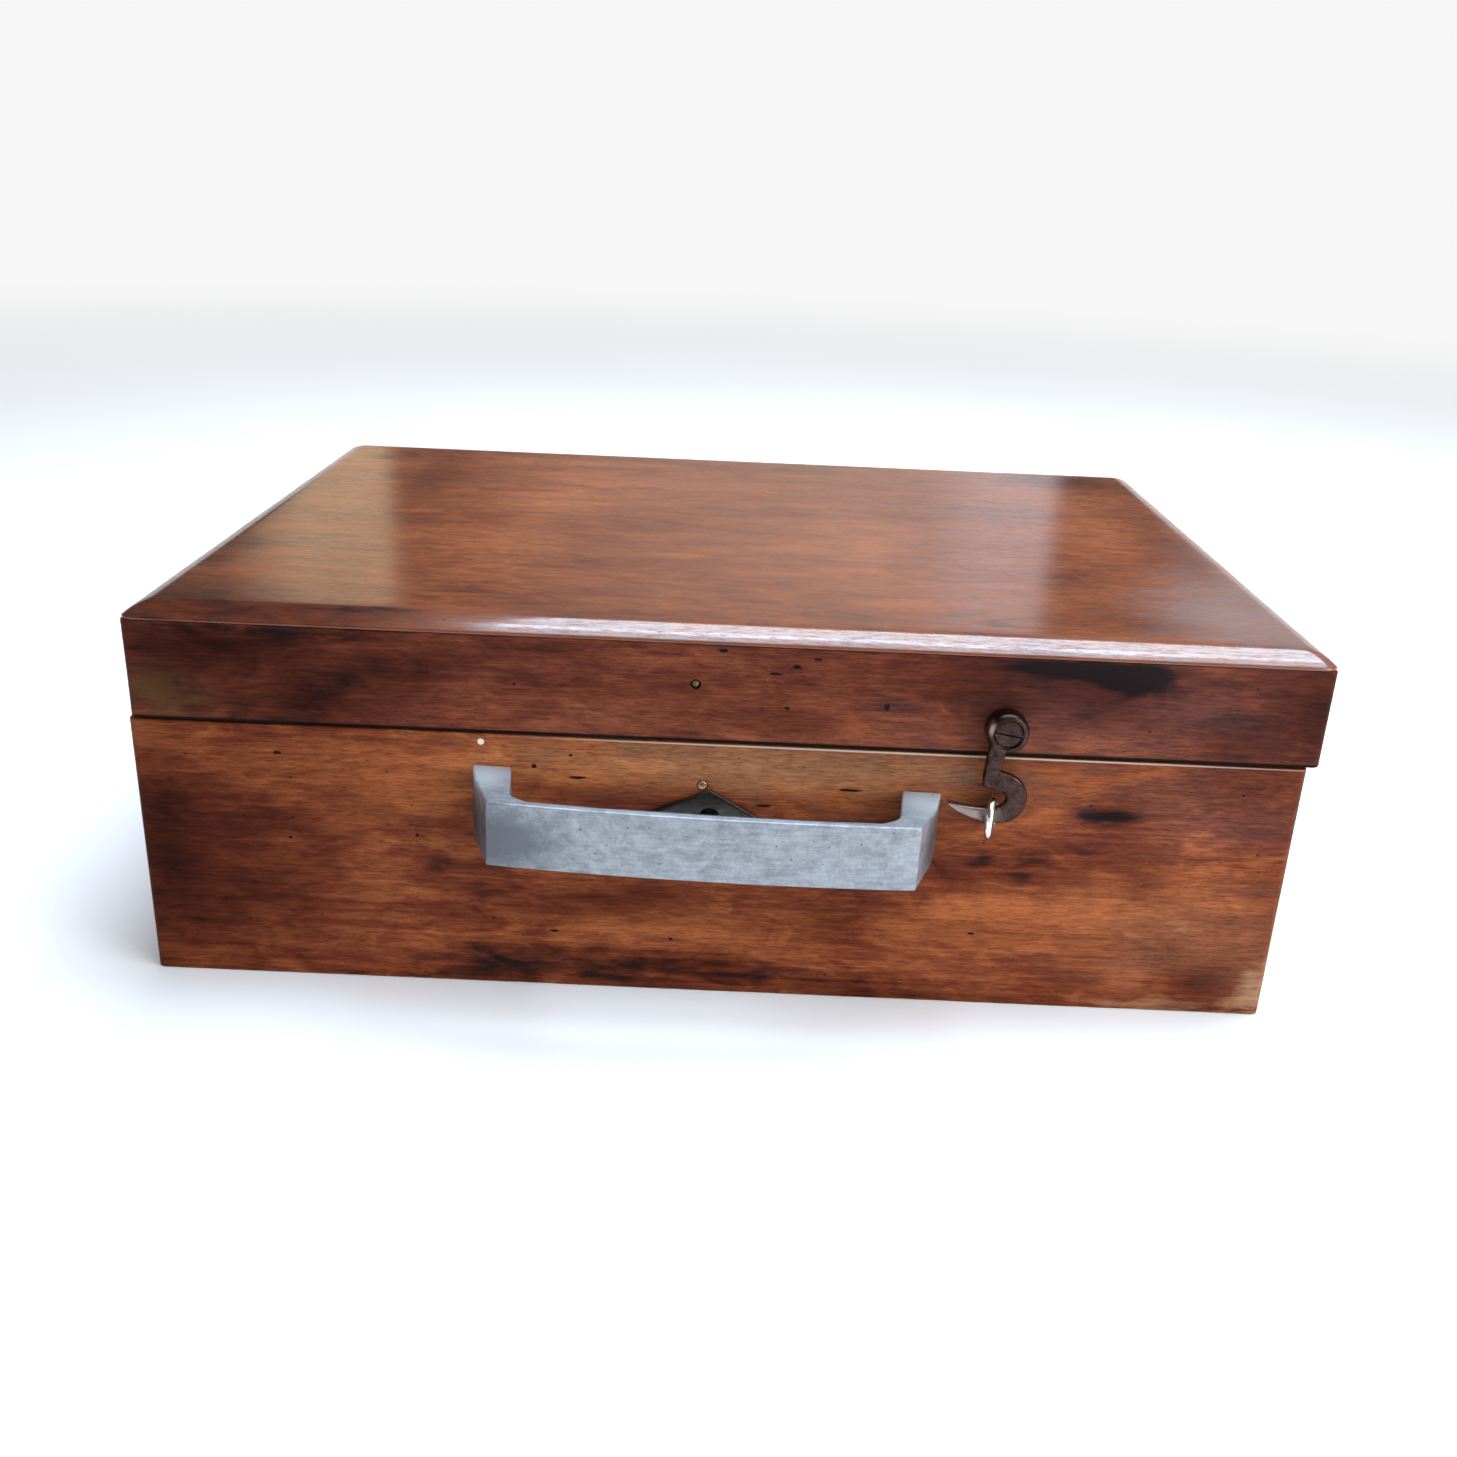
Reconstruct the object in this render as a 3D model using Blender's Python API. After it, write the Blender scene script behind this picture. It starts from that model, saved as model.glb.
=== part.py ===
"""A lidded wooden cash box: mitred case and lid, inside partitions, butt hinges, a till lock, a cast
aluminium pull, a lozenge keyhole plate, and a hook and eye that hold the lid shut.

The origin is the centre of the case's underside, +X to the right of someone facing the front, -Y towards
them and +Z up. Sizes are in millimetres and MM turns them into metres as each mesh is made.
"""

import math

import bmesh
import bpy
from mathutils import Matrix, Vector

MM = 0.001
GAP = 0.3  # left between pieces that touch on the real box

# Case
CASE_WIDTH = 350.0
CASE_DEPTH = 256.0
CASE_TOP = 84.7  # top edge of the case boards
WALL = 12.0  # thickness of every case and lid board
FRONT = -CASE_DEPTH / 2  # the front face
BACK = CASE_DEPTH / 2
CORNER_RADIUS = 2.5
BOTTOM_THICK = 6.0
PARTITION_THICK = 5.0
PARTITION_TOP = 50.0
PARTITION_Y = -16.0
WELL_DIVIDERS = (-54.5, 54.5)

# Lid
LID_LEFT = -174.3
LID_RIGHT = 178.3  # the lid stands a little past the case on the right
LID_BOTTOM = 85.3
LID_FRAME_TOP = 115.5
LID_TOP = 120.0
ROUND_DEPTH = 9.0  # how far in from the edge the lid's rounding starts
ROUND_DROP = 3.8  # and how far it falls

# Pull
PULL_CENTRE = (-2.9, 63.7)  # X and Z
PULL_TILT = math.radians(1.1)  # its right end hangs a little low
PULL_SCREW_X = 64.0  # 128 mm between the screws
PULL_HEIGHT = 20.0
PULL_FOOT = (58.5, 70.0)  # inner and outer edge of a foot at the wall
PULL_REACH = 28.3  # how far its middle stands out
PULL_BAR = 3.2

# Keyhole plate and lock
KEYHOLE = (-1.7, 61.3)  # X and Z of the key's axis
KEYHOLE_RADIUS = 3.2
KEY_SLOT_HALF = 1.5
KEY_SLOT_LOW = 52.0
KEY_CLEARANCE = 0.2  # how much wider the keyhole is in the wood
PLATE_CENTRE = (-2.4, 56.8)
PLATE_HALF = (26.0, 13.5)
PLATE_TILT = math.radians(2.7)
PLATE_THICK = 1.0
PLATE_PIN_X = 22.0
PLATE_PIN_RADIUS = 0.7
PLATE_PIN_HOLE = 1.0
LOCK_HALF_WIDTH = 21.7
LOCK_LOW = 45.0
LOCK_FRONT = FRONT + 4.3  # outer face of the lock's front plate
LOCK_INNER = FRONT + WALL - 0.1  # inner face of its cap
LOCK_SHEET = 1.2
LOCK_TOP = CASE_TOP - 0.2
LOCK_TOP_THICK = 1.5
CAP_HALF_WIDTH = 28.0
CAP_SCREW_X = 25.0
CAP_HOLE = 1.6
KEY_PIN_RADIUS = 1.3
BOLT_HALF_WIDTH = 8.0
BOLT_THICK = 3.6
BOLT_Y = FRONT + 7.8
BOLT_LIFT = 6.0
BOLT_TOP = CASE_TOP - 0.4
BOLT_SHOULDER = 69.0  # underside of its wide head
BOLT_NOTCH = (58.5, 65.5)  # low and high edge of the notch that the key turns in
BOLT_NOTCH_DEEP = 2.4
BOLT_TAIL = 3.4  # how far right of the key's axis its tail starts
BOLT_LOW = 54.0
SPRING_THICK = 0.6
SPRING_HALF_WIDTH = 1.5
SPRING_BENDS = (48.5, 54.0, 63.0, 74.0)  # heights of its foot, heel, waist and tip
STRIKE_HALF_WIDTH = 22.0
STRIKE_THICK = 1.2
STRIKE_SCREW_X = 15.5
STRIKE_BACK = FRONT + 11.7
STRIKE_FRONT = FRONT + 4.0
STRIKE_SLOT_SPARE = (0.8, 0.7)  # room beside and behind the bolt

# Hook and eye
HOOK_PIVOT = (84.0, 94.3)  # X and Z
HOOK_PLATE = (-7.0, -4.0)  # the hook's flat part, measured out from the front face
HOOK_BOSS_RADIUS = 6.2
HOOK_ARM_RADIUS = (23.6, 28.2)  # the arm lies between these radii from the pivot
HOOK_ARM_TIP = -35.0  # degrees round from straight down
EYE_X = 83.8
EYE_Z = 68.0
EYE_RADIUS = 5.6
EYE_WIRE = 1.15
EYE_SHANK = 1.3
EYE_OUT = 7.2  # the ring's centre, out from the front face
EYE_YAW = math.radians(-17)

# Hinges
HINGE_X = (-110.0, 110.0)
HINGE_HALF_LENGTH = 19.0
HINGE_DEPTH = 8.7
LEAF_THICK = 1.2
KNUCKLE_RADIUS = 2.4
KNUCKLE_BORE = 1.15
HINGE_PIN_RADIUS = 1.05
HINGE_AXIS = (BACK + 2.8, 85.0)  # Y and Z
MID_KNUCKLE_HALF = 6.2
LEAF_SCREW_X = 12.0
LEAF_SCREW_Y = BACK - 4.5

# Screws and pins: head radius, head depth, shank radius, length
LEAF_SCREW = (2.3, 1.0, 1.1, 9.0)
LOCK_SCREW = (2.3, 1.0, 1.1, 7.0)
STRIKE_SCREW = (2.3, 1.0, 1.1, 9.0)
HOOK_SCREW = (4.1, 1.9, 1.6, 14.0)
PULL_SCREW_HEAD = (3.8, 2.4)
PULL_SCREW_SHANK = 1.9
WASHER = (2.3, 5.0, 1.0)  # inner radius, outer radius, thickness
CASE_PIN = (-4.1, 71.3)  # X and Z of the pin above the keyhole plate
CASE_PIN_RADIUS = 1.4
LID_PIN = (-7.1, 103.2)  # and of the one sunk in the lid
LID_PIN_RADIUS = 1.2

# Ways a screw can point
UP = (0, 0, 1)
DOWN = (0, 0, -1)
INWARD = (0, 1, 0)
OUTWARD = (0, -1, 0)


def clear_scene():
    for old in list(bpy.data.objects):
        bpy.data.objects.remove(old)


def material(name, colour, roughness, metallic=0.0):
    look = bpy.data.materials.new(name)
    look.use_nodes = True
    shader = look.node_tree.nodes["Principled BSDF"]
    shader.inputs["Base Color"].default_value = (*colour, 1.0)
    shader.inputs["Roughness"].default_value = roughness
    shader.inputs["Metallic"].default_value = metallic
    look.diffuse_color = (*colour, 1.0)
    return look


def arc(centre, radius, start, end, steps):
    """Points round part of a circle, from start to end in degrees."""
    turns = [math.radians(start + (end - start) * step / steps) for step in range(steps + 1)]
    return [(centre[0] + radius * math.cos(a), centre[1] + radius * math.sin(a)) for a in turns]


def prism(outline, low, high, along="Z"):
    """A flat outline pushed from low to high along an axis. The outline lies in XY, XZ or YZ."""
    place = {
        "Z": lambda u, v, w: (u, v, w),
        "Y": lambda u, v, w: (u, w, v),
        "X": lambda u, v, w: (w, u, v),
    }[along]
    bm = bmesh.new()
    face = bm.faces.new([bm.verts.new(place(u, v, low)) for u, v in outline])
    grown = bmesh.ops.extrude_face_region(bm, geom=[face])["geom"]
    moved = [part for part in grown if isinstance(part, bmesh.types.BMVert)]
    bmesh.ops.translate(bm, vec=place(0.0, 0.0, high - low), verts=moved)
    return bm


def block(low, high):
    """A box between two corners."""
    corners = [(low[0], low[1]), (high[0], low[1]), (high[0], high[1]), (low[0], high[1])]
    return prism(corners, low[2], high[2])


def turned(profile, sides=16, closed=False):
    """A profile of (radius, height) points spun about Z. A closed profile makes a ring."""
    bm = bmesh.new()
    line = [bm.verts.new((radius, 0.0, height)) for radius, height in profile]
    pairs = list(zip(line, line[1:])) + ([(line[-1], line[0])] if closed else [])
    edges = [bm.edges.new(pair) for pair in pairs]
    bmesh.ops.spin(
        bm, geom=line + edges, cent=(0, 0, 0), axis=(0, 0, 1), angle=math.tau, steps=sides
    )
    bmesh.ops.remove_doubles(bm, verts=bm.verts, dist=0.001)
    return bm


def rod(radius, start, end, along, centre, sides=16):
    """A round bar along an axis; centre holds its place on the other two axes, in XYZ order."""
    outline = arc(centre, radius, 0, 360 - 360 / sides, sides - 1)
    return prism(outline, start, end, along)


def piece(name, bm, look, place=(0.0, 0.0, 0.0)):
    """An object made from a bmesh in millimetres, with its origin at place."""
    bmesh.ops.recalc_face_normals(bm, faces=bm.faces)
    if bm.calc_volume(signed=True) < 0:
        bmesh.ops.reverse_faces(bm, faces=bm.faces)
    bm.transform(Matrix.Scale(MM, 4))
    mesh = bpy.data.meshes.new(name)
    bm.to_mesh(mesh)
    bm.free()
    mesh.materials.append(look)
    obj = bpy.data.objects.new(name, mesh)
    obj.location = Vector(place) * MM
    bpy.context.scene.collection.objects.link(obj)
    return obj


def settle(obj):
    """Replaces an object's mesh with the one its modifiers make."""
    graph = bpy.context.evaluated_depsgraph_get()
    shaped = bpy.data.meshes.new_from_object(obj.evaluated_get(graph))
    obj.modifiers.clear()
    obj.data = shaped


def combine(obj, operation, tools):
    """Cuts each tool from the object, or joins each to it. A tool is a bmesh in the object's own frame."""
    for number, tool in enumerate(tools):
        helper = piece(f"{obj.name}_tool_{number}", tool, obj.data.materials[0])
        helper.location = obj.location
        helper.hide_render = True
        helper.display_type = "WIRE"
        step = obj.modifiers.new("Shape", "BOOLEAN")
        step.operation = operation
        step.object = helper
        bpy.context.view_layer.update()
        settle(obj)
        bpy.data.objects.remove(helper)


def cut(obj, *tools):
    combine(obj, "DIFFERENCE", tools)


def join(obj, *tools):
    combine(obj, "UNION", tools)


def ease_edges(obj, width, segments=1):
    """Breaks every edge sharper than 40 degrees."""
    bevel = obj.modifiers.new("Ease", "BEVEL")
    bevel.width = width * MM
    bevel.segments = segments
    bevel.limit_method = "ANGLE"
    bevel.angle_limit = math.radians(40)
    settle(obj)


def smooth(obj):
    obj.data.shade_smooth()
    obj.data.set_sharp_from_angle(angle=math.radians(35))


def copy_of(pattern, name, place, direction):
    """Another object with the same mesh, its -Z turned to a direction."""
    twin = bpy.data.objects.new(name, pattern.data)
    twin.location = Vector(place) * MM
    twin.rotation_euler = Vector(direction).to_track_quat("-Z", "Y").to_euler()
    bpy.context.scene.collection.objects.link(twin)
    return twin


# Boards


def mitred_boards(prefix, centre_x, half_x, low, high, look):
    """Four boards with mitred ends and rounded outer corners, round a box of the case's depth."""
    boards = {}
    sides = (
        ("front", 0, half_x, CASE_DEPTH / 2),
        ("right", 90, CASE_DEPTH / 2, half_x),
        ("back", 180, half_x, CASE_DEPTH / 2),
        ("left", 270, CASE_DEPTH / 2, half_x),
    )
    trim = math.degrees(math.asin(GAP / 2 / CORNER_RADIUS))
    for side, turn, half_length, out in sides:
        corner = (half_length - CORNER_RADIUS, CORNER_RADIUS - out)
        inner = half_length - WALL - GAP / math.sqrt(2)
        outline = arc((-corner[0], corner[1]), CORNER_RADIUS, 225 + trim, 270, 3)
        outline += arc(corner, CORNER_RADIUS, 270, 315 - trim, 3)
        outline += [(inner, WALL - out), (-inner, WALL - out)]
        board = prism(outline, low, high)
        board.transform(Matrix.Rotation(math.radians(turn), 4, "Z"))
        board.transform(Matrix.Translation((centre_x, 0, 0)))
        boards[side] = piece(f"{prefix}_{side}", board, look)
    return boards


def rounded_rectangle(centre_x, half_x, half_y, radius):
    outline = []
    for start, sign_x, sign_y in ((180, -1, -1), (270, 1, -1), (0, 1, 1), (90, -1, 1)):
        centre = (centre_x + sign_x * (half_x - radius), sign_y * (half_y - radius))
        outline += arc(centre, radius, start, start + 90, 3)
    return outline


def lid_top_board(look):
    """A thin board over the whole lid, its upper edge rounded by a shallow arc all the way round."""
    centre_x = (LID_LEFT + LID_RIGHT) / 2
    half_x = (LID_RIGHT - LID_LEFT) / 2
    arc_radius = (ROUND_DEPTH**2 + ROUND_DROP**2) / (2 * ROUND_DROP)
    arc_end = math.asin(ROUND_DEPTH / arc_radius)
    levels = [(0.0, LID_FRAME_TOP + GAP)]
    for step in range(7):
        angle = arc_end * (1 - step / 6)
        inset = ROUND_DEPTH - arc_radius * math.sin(angle)
        levels.append((inset, LID_TOP - arc_radius * (1 - math.cos(angle))))
    bm = bmesh.new()
    loops = []
    for inset, height in levels:
        radius = max(CORNER_RADIUS - inset / 3, 0.5)
        outline = rounded_rectangle(centre_x, half_x - inset, CASE_DEPTH / 2 - inset, radius)
        loops.append([bm.verts.new((x, y, height)) for x, y in outline])
    for lower, upper in zip(loops, loops[1:]):
        for i, vertex in enumerate(lower):
            bm.faces.new((lower[i - 1], vertex, upper[i], upper[i - 1]))
    bm.faces.new(loops[0])
    bm.faces.new(loops[-1])
    board = piece("lid_top", bm, look)
    smooth(board)


def inside_boards(wood, plywood):
    """The bottom panel, and the partitions that make three coin wells and a note well."""
    half_x = CASE_WIDTH / 2 - WALL - GAP
    half_y = CASE_DEPTH / 2 - WALL - GAP
    piece("case_bottom", block((-half_x, -half_y, 0), (half_x, half_y, BOTTOM_THICK)), plywood)
    low = BOTTOM_THICK + GAP
    half = PARTITION_THICK / 2
    long_board = block((-half_x, PARTITION_Y - half, low), (half_x, PARTITION_Y + half, PARTITION_TOP))
    ease_edges(piece("partition_long", long_board, wood), 0.8)
    for number, x in enumerate(WELL_DIVIDERS, 1):
        front_end = (x - half, -half_y, low)
        back_end = (x + half, PARTITION_Y - half - GAP, PARTITION_TOP)
        ease_edges(piece(f"well_divider_{number}", block(front_end, back_end), wood), 0.8)


# Fasteners


def countersunk_screw(name, size, look):
    """A slotted wood screw along -Z: its flat head at height 0, its point at the bottom."""
    head, head_depth, shank, length = size
    profile = [
        (0, 0),
        (head, 0),
        (head, -0.2),
        (shank, -head_depth),
        (shank, 2 * shank - length),
        (0, -length),
    ]
    screw = piece(name, turned(profile, 12), look)
    cut(screw, block((-head - 1, -0.35, -0.5), (head + 1, 0.35, 1)))
    smooth(screw)
    return screw


def countersink(place, direction, size):
    """Cutting tool that clears a countersunk screw whose head's top is at place."""
    head, head_depth, shank, length = size
    wide = head + GAP
    narrow = shank + GAP
    profile = [(0, 1), (wide, 1), (wide, -0.3), (narrow, -head_depth - 0.1), (narrow, -length), (0, -length)]
    tool = turned(profile, 12)
    turn = Vector(direction).to_track_quat("-Z", "Y").to_matrix().to_4x4()
    tool.transform(Matrix.Translation(place) @ turn)
    return tool


def pin(name, radius, start, end, centre, look):
    """A small headless pin driven in from the front."""
    obj = piece(name, rod(radius, start, end, "Y", centre, 12), look)
    smooth(obj)


# Hinges


def hinge_leaf(name, x, spans, plate, holes, look):
    """A flat leaf with barrels for the pin: plate is its low and high face, spans the stretches of barrel."""
    root = HINGE_AXIS[0] - KNUCKLE_BORE - 0.4
    edge = [(x + HINGE_HALF_LENGTH, BACK - HINGE_DEPTH), (x - HINGE_HALF_LENGTH, BACK - HINGE_DEPTH)]
    if spans[0][0] > -HINGE_HALF_LENGTH:
        edge.append((x - HINGE_HALF_LENGTH, BACK))
    for start, end in spans:
        if start > -HINGE_HALF_LENGTH:
            edge.append((x + start, BACK))
        edge += [(x + start, root), (x + end, root)]
        if end < HINGE_HALF_LENGTH:
            edge.append((x + end, BACK))
    if spans[-1][1] < HINGE_HALF_LENGTH:
        edge.append((x + HINGE_HALF_LENGTH, BACK))
    leaf = piece(name, prism(edge, *plate), look)
    cut(leaf, *holes)
    for start, end in spans:
        join(leaf, rod(KNUCKLE_RADIUS, x + start, x + end, "X", HINGE_AXIS, 20))
    bore = rod(KNUCKLE_BORE, x - HINGE_HALF_LENGTH - 1, x + HINGE_HALF_LENGTH + 1, "X", HINGE_AXIS, 16)
    cut(leaf, bore)
    smooth(leaf)


def hinges(brass, steel):
    pattern = countersunk_screw("hinge_screw", LEAF_SCREW, steel)
    outer = MID_KNUCKLE_HALF + GAP
    ends = ((-HINGE_HALF_LENGTH, -outer), (outer, HINGE_HALF_LENGTH))
    middle = ((-MID_KNUCKLE_HALF, MID_KNUCKLE_HALF),)
    leaves = (
        ("case", ends, (CASE_TOP - LEAF_THICK, CASE_TOP), CASE_TOP - 0.1, DOWN),
        ("lid", middle, (LID_BOTTOM, LID_BOTTOM + LEAF_THICK), LID_BOTTOM + 0.1, UP),
    )
    for side, x in zip(("left", "right"), HINGE_X):
        span = (x - HINGE_HALF_LENGTH, x + HINGE_HALF_LENGTH)
        hinge_pin = piece(f"hinge_{side}_pin", rod(HINGE_PIN_RADIUS, *span, "X", HINGE_AXIS, 16), steel)
        smooth(hinge_pin)
        for owner, spans, plate, head_top, way in leaves:
            places = [(x + along, LEAF_SCREW_Y, head_top) for along in (-LEAF_SCREW_X, LEAF_SCREW_X)]
            holes = [countersink(place, way, LEAF_SCREW) for place in places]
            hinge_leaf(f"hinge_{side}_{owner}_leaf", x, spans, plate, holes, brass)
            for end, place in zip("ab", places):
                copy_of(pattern, f"hinge_{side}_{owner}_screw_{end}", place, way)
    bpy.data.objects.remove(pattern)


def hinge_recesses(board, face, inward):
    """Lets both leaves and their screws into a back board's edge; inward is -1 down or 1 up."""
    depth = inward * (LEAF_THICK + GAP)
    for x in HINGE_X:
        half = HINGE_HALF_LENGTH + GAP
        near, far = sorted((face - inward, face + depth))
        cut(board, block((x - half, BACK - HINGE_DEPTH - GAP, near), (x + half, BACK + 1, far)))
        for screw_x in (x - LEAF_SCREW_X, x + LEAF_SCREW_X):
            low, high = sorted((face, face + inward * (LEAF_SCREW[3] + 1)))
            cut(board, rod(LEAF_SCREW[2] + GAP, low, high, "Z", (screw_x, LEAF_SCREW_Y), 12))


# Pull


def pull_outline():
    """The pull seen from above, its wall side at 0 and its reach towards -Y."""
    inner, outer = PULL_FOOT
    nose = (61.7, -26.0)  # front corner
    sag = PULL_REACH + nose[1]
    bow_radius = (nose[0] ** 2 + sag**2) / (2 * sag)
    bow_half = math.degrees(math.asin(nose[0] / bow_radius))
    bow_centre = (0.0, bow_radius - PULL_REACH)
    front = arc(bow_centre, bow_radius, 270 - bow_half, 270 + bow_half, 12)
    inside_half = 0.82 * bow_half
    inside = arc(bow_centre, bow_radius - PULL_BAR, 270 + inside_half, 270 - inside_half, 10)
    fillet_right = arc((49.9, -16.4), 6.4, -62, -4, 4)
    fillet_left = [(-x, y) for x, y in reversed(fillet_right)]
    right_foot = [(outer - 2.2, -9.5), (outer, 0.0), (inner, 0.0), (inner - 1.3, -9.5)]
    left_foot = [(-x, y) for x, y in reversed(right_foot)]
    return front + right_foot + fillet_right[::-1] + inside + fillet_left[::-1] + left_foot


def pull(aluminium, steel):
    """The cast pull, and the machine screws and washers that hold it from inside."""
    bar = prism(pull_outline(), -PULL_HEIGHT / 2, PULL_HEIGHT / 2)
    place = (PULL_CENTRE[0], FRONT - GAP, PULL_CENTRE[1])
    handle = piece("pull_handle", bar, aluminium, place)
    ease_edges(handle, 0.5, 2)
    shank_hole = PULL_SCREW_SHANK + GAP
    for x in (-PULL_SCREW_X, PULL_SCREW_X):
        cut(handle, rod(shank_hole, -10.0, 1.0, "Y", (x, 0.0), 12))
    handle.rotation_euler = (0, PULL_TILT, 0)
    smooth(handle)
    inner_face = FRONT + WALL
    head, head_depth = PULL_SCREW_HEAD
    shank_length = WALL + WASHER[2] + 2 * GAP + 9.0
    screw = piece(
        "pull_screw",
        turned(
            [
                (0, head_depth),
                (head * 0.7, head_depth),
                (head, head_depth * 0.4),
                (head, 0),
                (PULL_SCREW_SHANK, 0),
                (PULL_SCREW_SHANK, -shank_length),
                (0, -shank_length),
            ],
            12,
        ),
        steel,
    )
    cut(screw, block((-head - 1, -0.5, head_depth - 1), (head + 1, 0.5, head_depth + 1)))
    smooth(screw)
    hole, rim, thick = WASHER
    washer = piece(
        "pull_washer",
        turned([(hole, 0), (rim, 0), (rim, thick), (hole, thick)], 16, closed=True),
        steel,
    )
    smooth(washer)
    for side, x, z in pull_screw_places():
        washer_y = inner_face + GAP
        copy_of(washer, f"pull_washer_{side}", (x, washer_y, z), OUTWARD)
        copy_of(screw, f"pull_screw_{side}", (x, washer_y + thick + GAP, z), OUTWARD)
    bpy.data.objects.remove(screw)
    bpy.data.objects.remove(washer)


def pull_screw_places():
    """Side, X and Z of the pull's two screws."""
    for side, sign in (("left", -1), ("right", 1)):
        along = sign * PULL_SCREW_X
        x = PULL_CENTRE[0] + along * math.cos(PULL_TILT)
        z = PULL_CENTRE[1] - along * math.sin(PULL_TILT)
        yield side, x, z


# Keyhole plate and lock


def keyhole_tool(start, end, spare=0.0):
    """Round hole with a slot below it, along Y, larger by the spare all round."""
    x, z = KEYHOLE
    radius = KEYHOLE_RADIUS + spare
    slot_half = KEY_SLOT_HALF + spare
    slot_low = KEY_SLOT_LOW - spare
    edge = math.degrees(math.asin(slot_half / radius))
    outline = arc((x, z), radius, -90 + edge, 270 - edge, 16)
    outline += [(x - slot_half, slot_low), (x + slot_half, slot_low)]
    return prism(outline, start, end, "Y")


def keyhole_plate(steel, pin_look):
    half_x, half_z = PLATE_HALF
    spin = Matrix.Rotation(PLATE_TILT, 4, "Y")
    centre = Vector((PLATE_CENTRE[0], 0, PLATE_CENTRE[1]))
    outer_face = FRONT - GAP - PLATE_THICK
    lozenge = prism(
        [(-half_x, 0), (0, -half_z), (half_x, 0), (0, half_z)], outer_face, FRONT - GAP, "Y"
    )
    lozenge.transform(Matrix.Translation(centre) @ spin)
    plate = piece("keyhole_plate", lozenge, steel)
    cut(plate, keyhole_tool(outer_face - 1, FRONT + 1))
    for side, along in (("left", -PLATE_PIN_X), ("right", PLATE_PIN_X)):
        spot = centre + spin @ Vector((along, 0, 0))
        at = (spot.x, spot.z)
        cut(plate, rod(PLATE_PIN_HOLE, outer_face - 1, FRONT + 1, "Y", at, 10))
        pin(f"keyhole_plate_pin_{side}", PLATE_PIN_RADIUS, outer_face - 0.4, FRONT + 3.0, at, pin_look)


def plate_pin_places():
    """X and Z of the two pins that hold the keyhole plate."""
    spin = Matrix.Rotation(PLATE_TILT, 4, "Y")
    for along in (-PLATE_PIN_X, PLATE_PIN_X):
        spot = Vector((PLATE_CENTRE[0], 0, PLATE_CENTRE[1])) + spin @ Vector((along, 0, 0))
        yield spot.x, spot.z


def lock(steel, brass):
    """A till lock let into the front board: its bolt rises into the lid when the key turns."""
    x, z = KEYHOLE
    cap_outer = LOCK_INNER - LOCK_SHEET
    back = cap_outer - GAP
    half = LOCK_HALF_WIDTH
    case_box = block((x - half, LOCK_FRONT, LOCK_LOW), (x + half, back, LOCK_TOP))
    case_shell = piece("lock_case", case_box, steel)
    inner = half - LOCK_SHEET
    inner_top = LOCK_TOP - LOCK_TOP_THICK
    hollow_low = (x - inner, LOCK_FRONT + LOCK_SHEET, LOCK_LOW + LOCK_SHEET)
    cavity = block(hollow_low, (x + inner, back + 1, inner_top))
    bolt_near = BOLT_Y - BOLT_THICK / 2
    bolt_far = BOLT_Y + BOLT_THICK / 2
    slot_half = BOLT_HALF_WIDTH + GAP
    slot_low = (x - slot_half, bolt_near - GAP, inner_top - 1)
    slot = block(slot_low, (x + slot_half, bolt_far + GAP, CASE_TOP + 1))
    cut(case_shell, cavity, slot, keyhole_tool(LOCK_FRONT - 1, LOCK_FRONT + 2))

    cap_low = (x - CAP_HALF_WIDTH, cap_outer, LOCK_LOW + 1)
    cap = piece("lock_cap", block(cap_low, (x + CAP_HALF_WIDTH, LOCK_INNER, LOCK_TOP)), brass)
    cut(cap, rod(CAP_HOLE, cap_outer - 1, LOCK_INNER + 1, "Y", KEYHOLE, 12))
    pattern = countersunk_screw("lock_screw", LOCK_SCREW, steel)
    for side, screw_x in lock_screw_places():
        place = (screw_x, LOCK_INNER - 0.1, z)
        cut(cap, countersink(place, OUTWARD, LOCK_SCREW))
        copy_of(pattern, f"lock_screw_{side}", place, OUTWARD)
    bpy.data.objects.remove(pattern)

    key_pin_body = rod(KEY_PIN_RADIUS, LOCK_FRONT + 0.2, LOCK_INNER, "Y", KEYHOLE, 12)
    smooth(piece("lock_key_pin", key_pin_body, steel))

    right = x + BOLT_HALF_WIDTH
    left = x - BOLT_HALF_WIDTH
    tail_left = x + BOLT_TAIL
    notch_right = tail_left + BOLT_NOTCH_DEEP
    notch_low, notch_high = BOLT_NOTCH
    bolt_outline = [
        (left, BOLT_TOP),
        (left, BOLT_SHOULDER),
        (tail_left, BOLT_SHOULDER),
        (tail_left, notch_high),
        (notch_right, notch_high),
        (notch_right, notch_low),
        (tail_left, notch_low),
        (tail_left, BOLT_LOW),
        (right, BOLT_LOW),
        (right, BOLT_TOP),
    ]
    piece("lock_bolt", prism(bolt_outline, bolt_near, bolt_far, "Y"), brass)

    foot = x + inner - GAP
    across = (foot, foot, right + 1.0, foot - 1.0)
    bend = list(zip(across, SPRING_BENDS))
    back_bend = [(u - SPRING_THICK, v) for u, v in reversed(bend)]
    near, far = BOLT_Y - SPRING_HALF_WIDTH, BOLT_Y + SPRING_HALF_WIDTH
    piece("lock_spring", prism(bend + back_bend, near, far, "Y"), steel)


def lock_screw_places():
    """Side and X of the two screws in the lock's cap."""
    for side, along in (("left", -CAP_SCREW_X), ("right", CAP_SCREW_X)):
        yield side, KEYHOLE[0] + along


def bolt_room(low, high):
    """Cutting tool for the slot that the bolt rises through."""
    half = BOLT_HALF_WIDTH + STRIKE_SLOT_SPARE[0]
    deep = BOLT_THICK / 2 + STRIKE_SLOT_SPARE[1]
    x = KEYHOLE[0]
    return block((x - half, BOLT_Y - deep, low), (x + half, BOLT_Y + deep, high))


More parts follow.
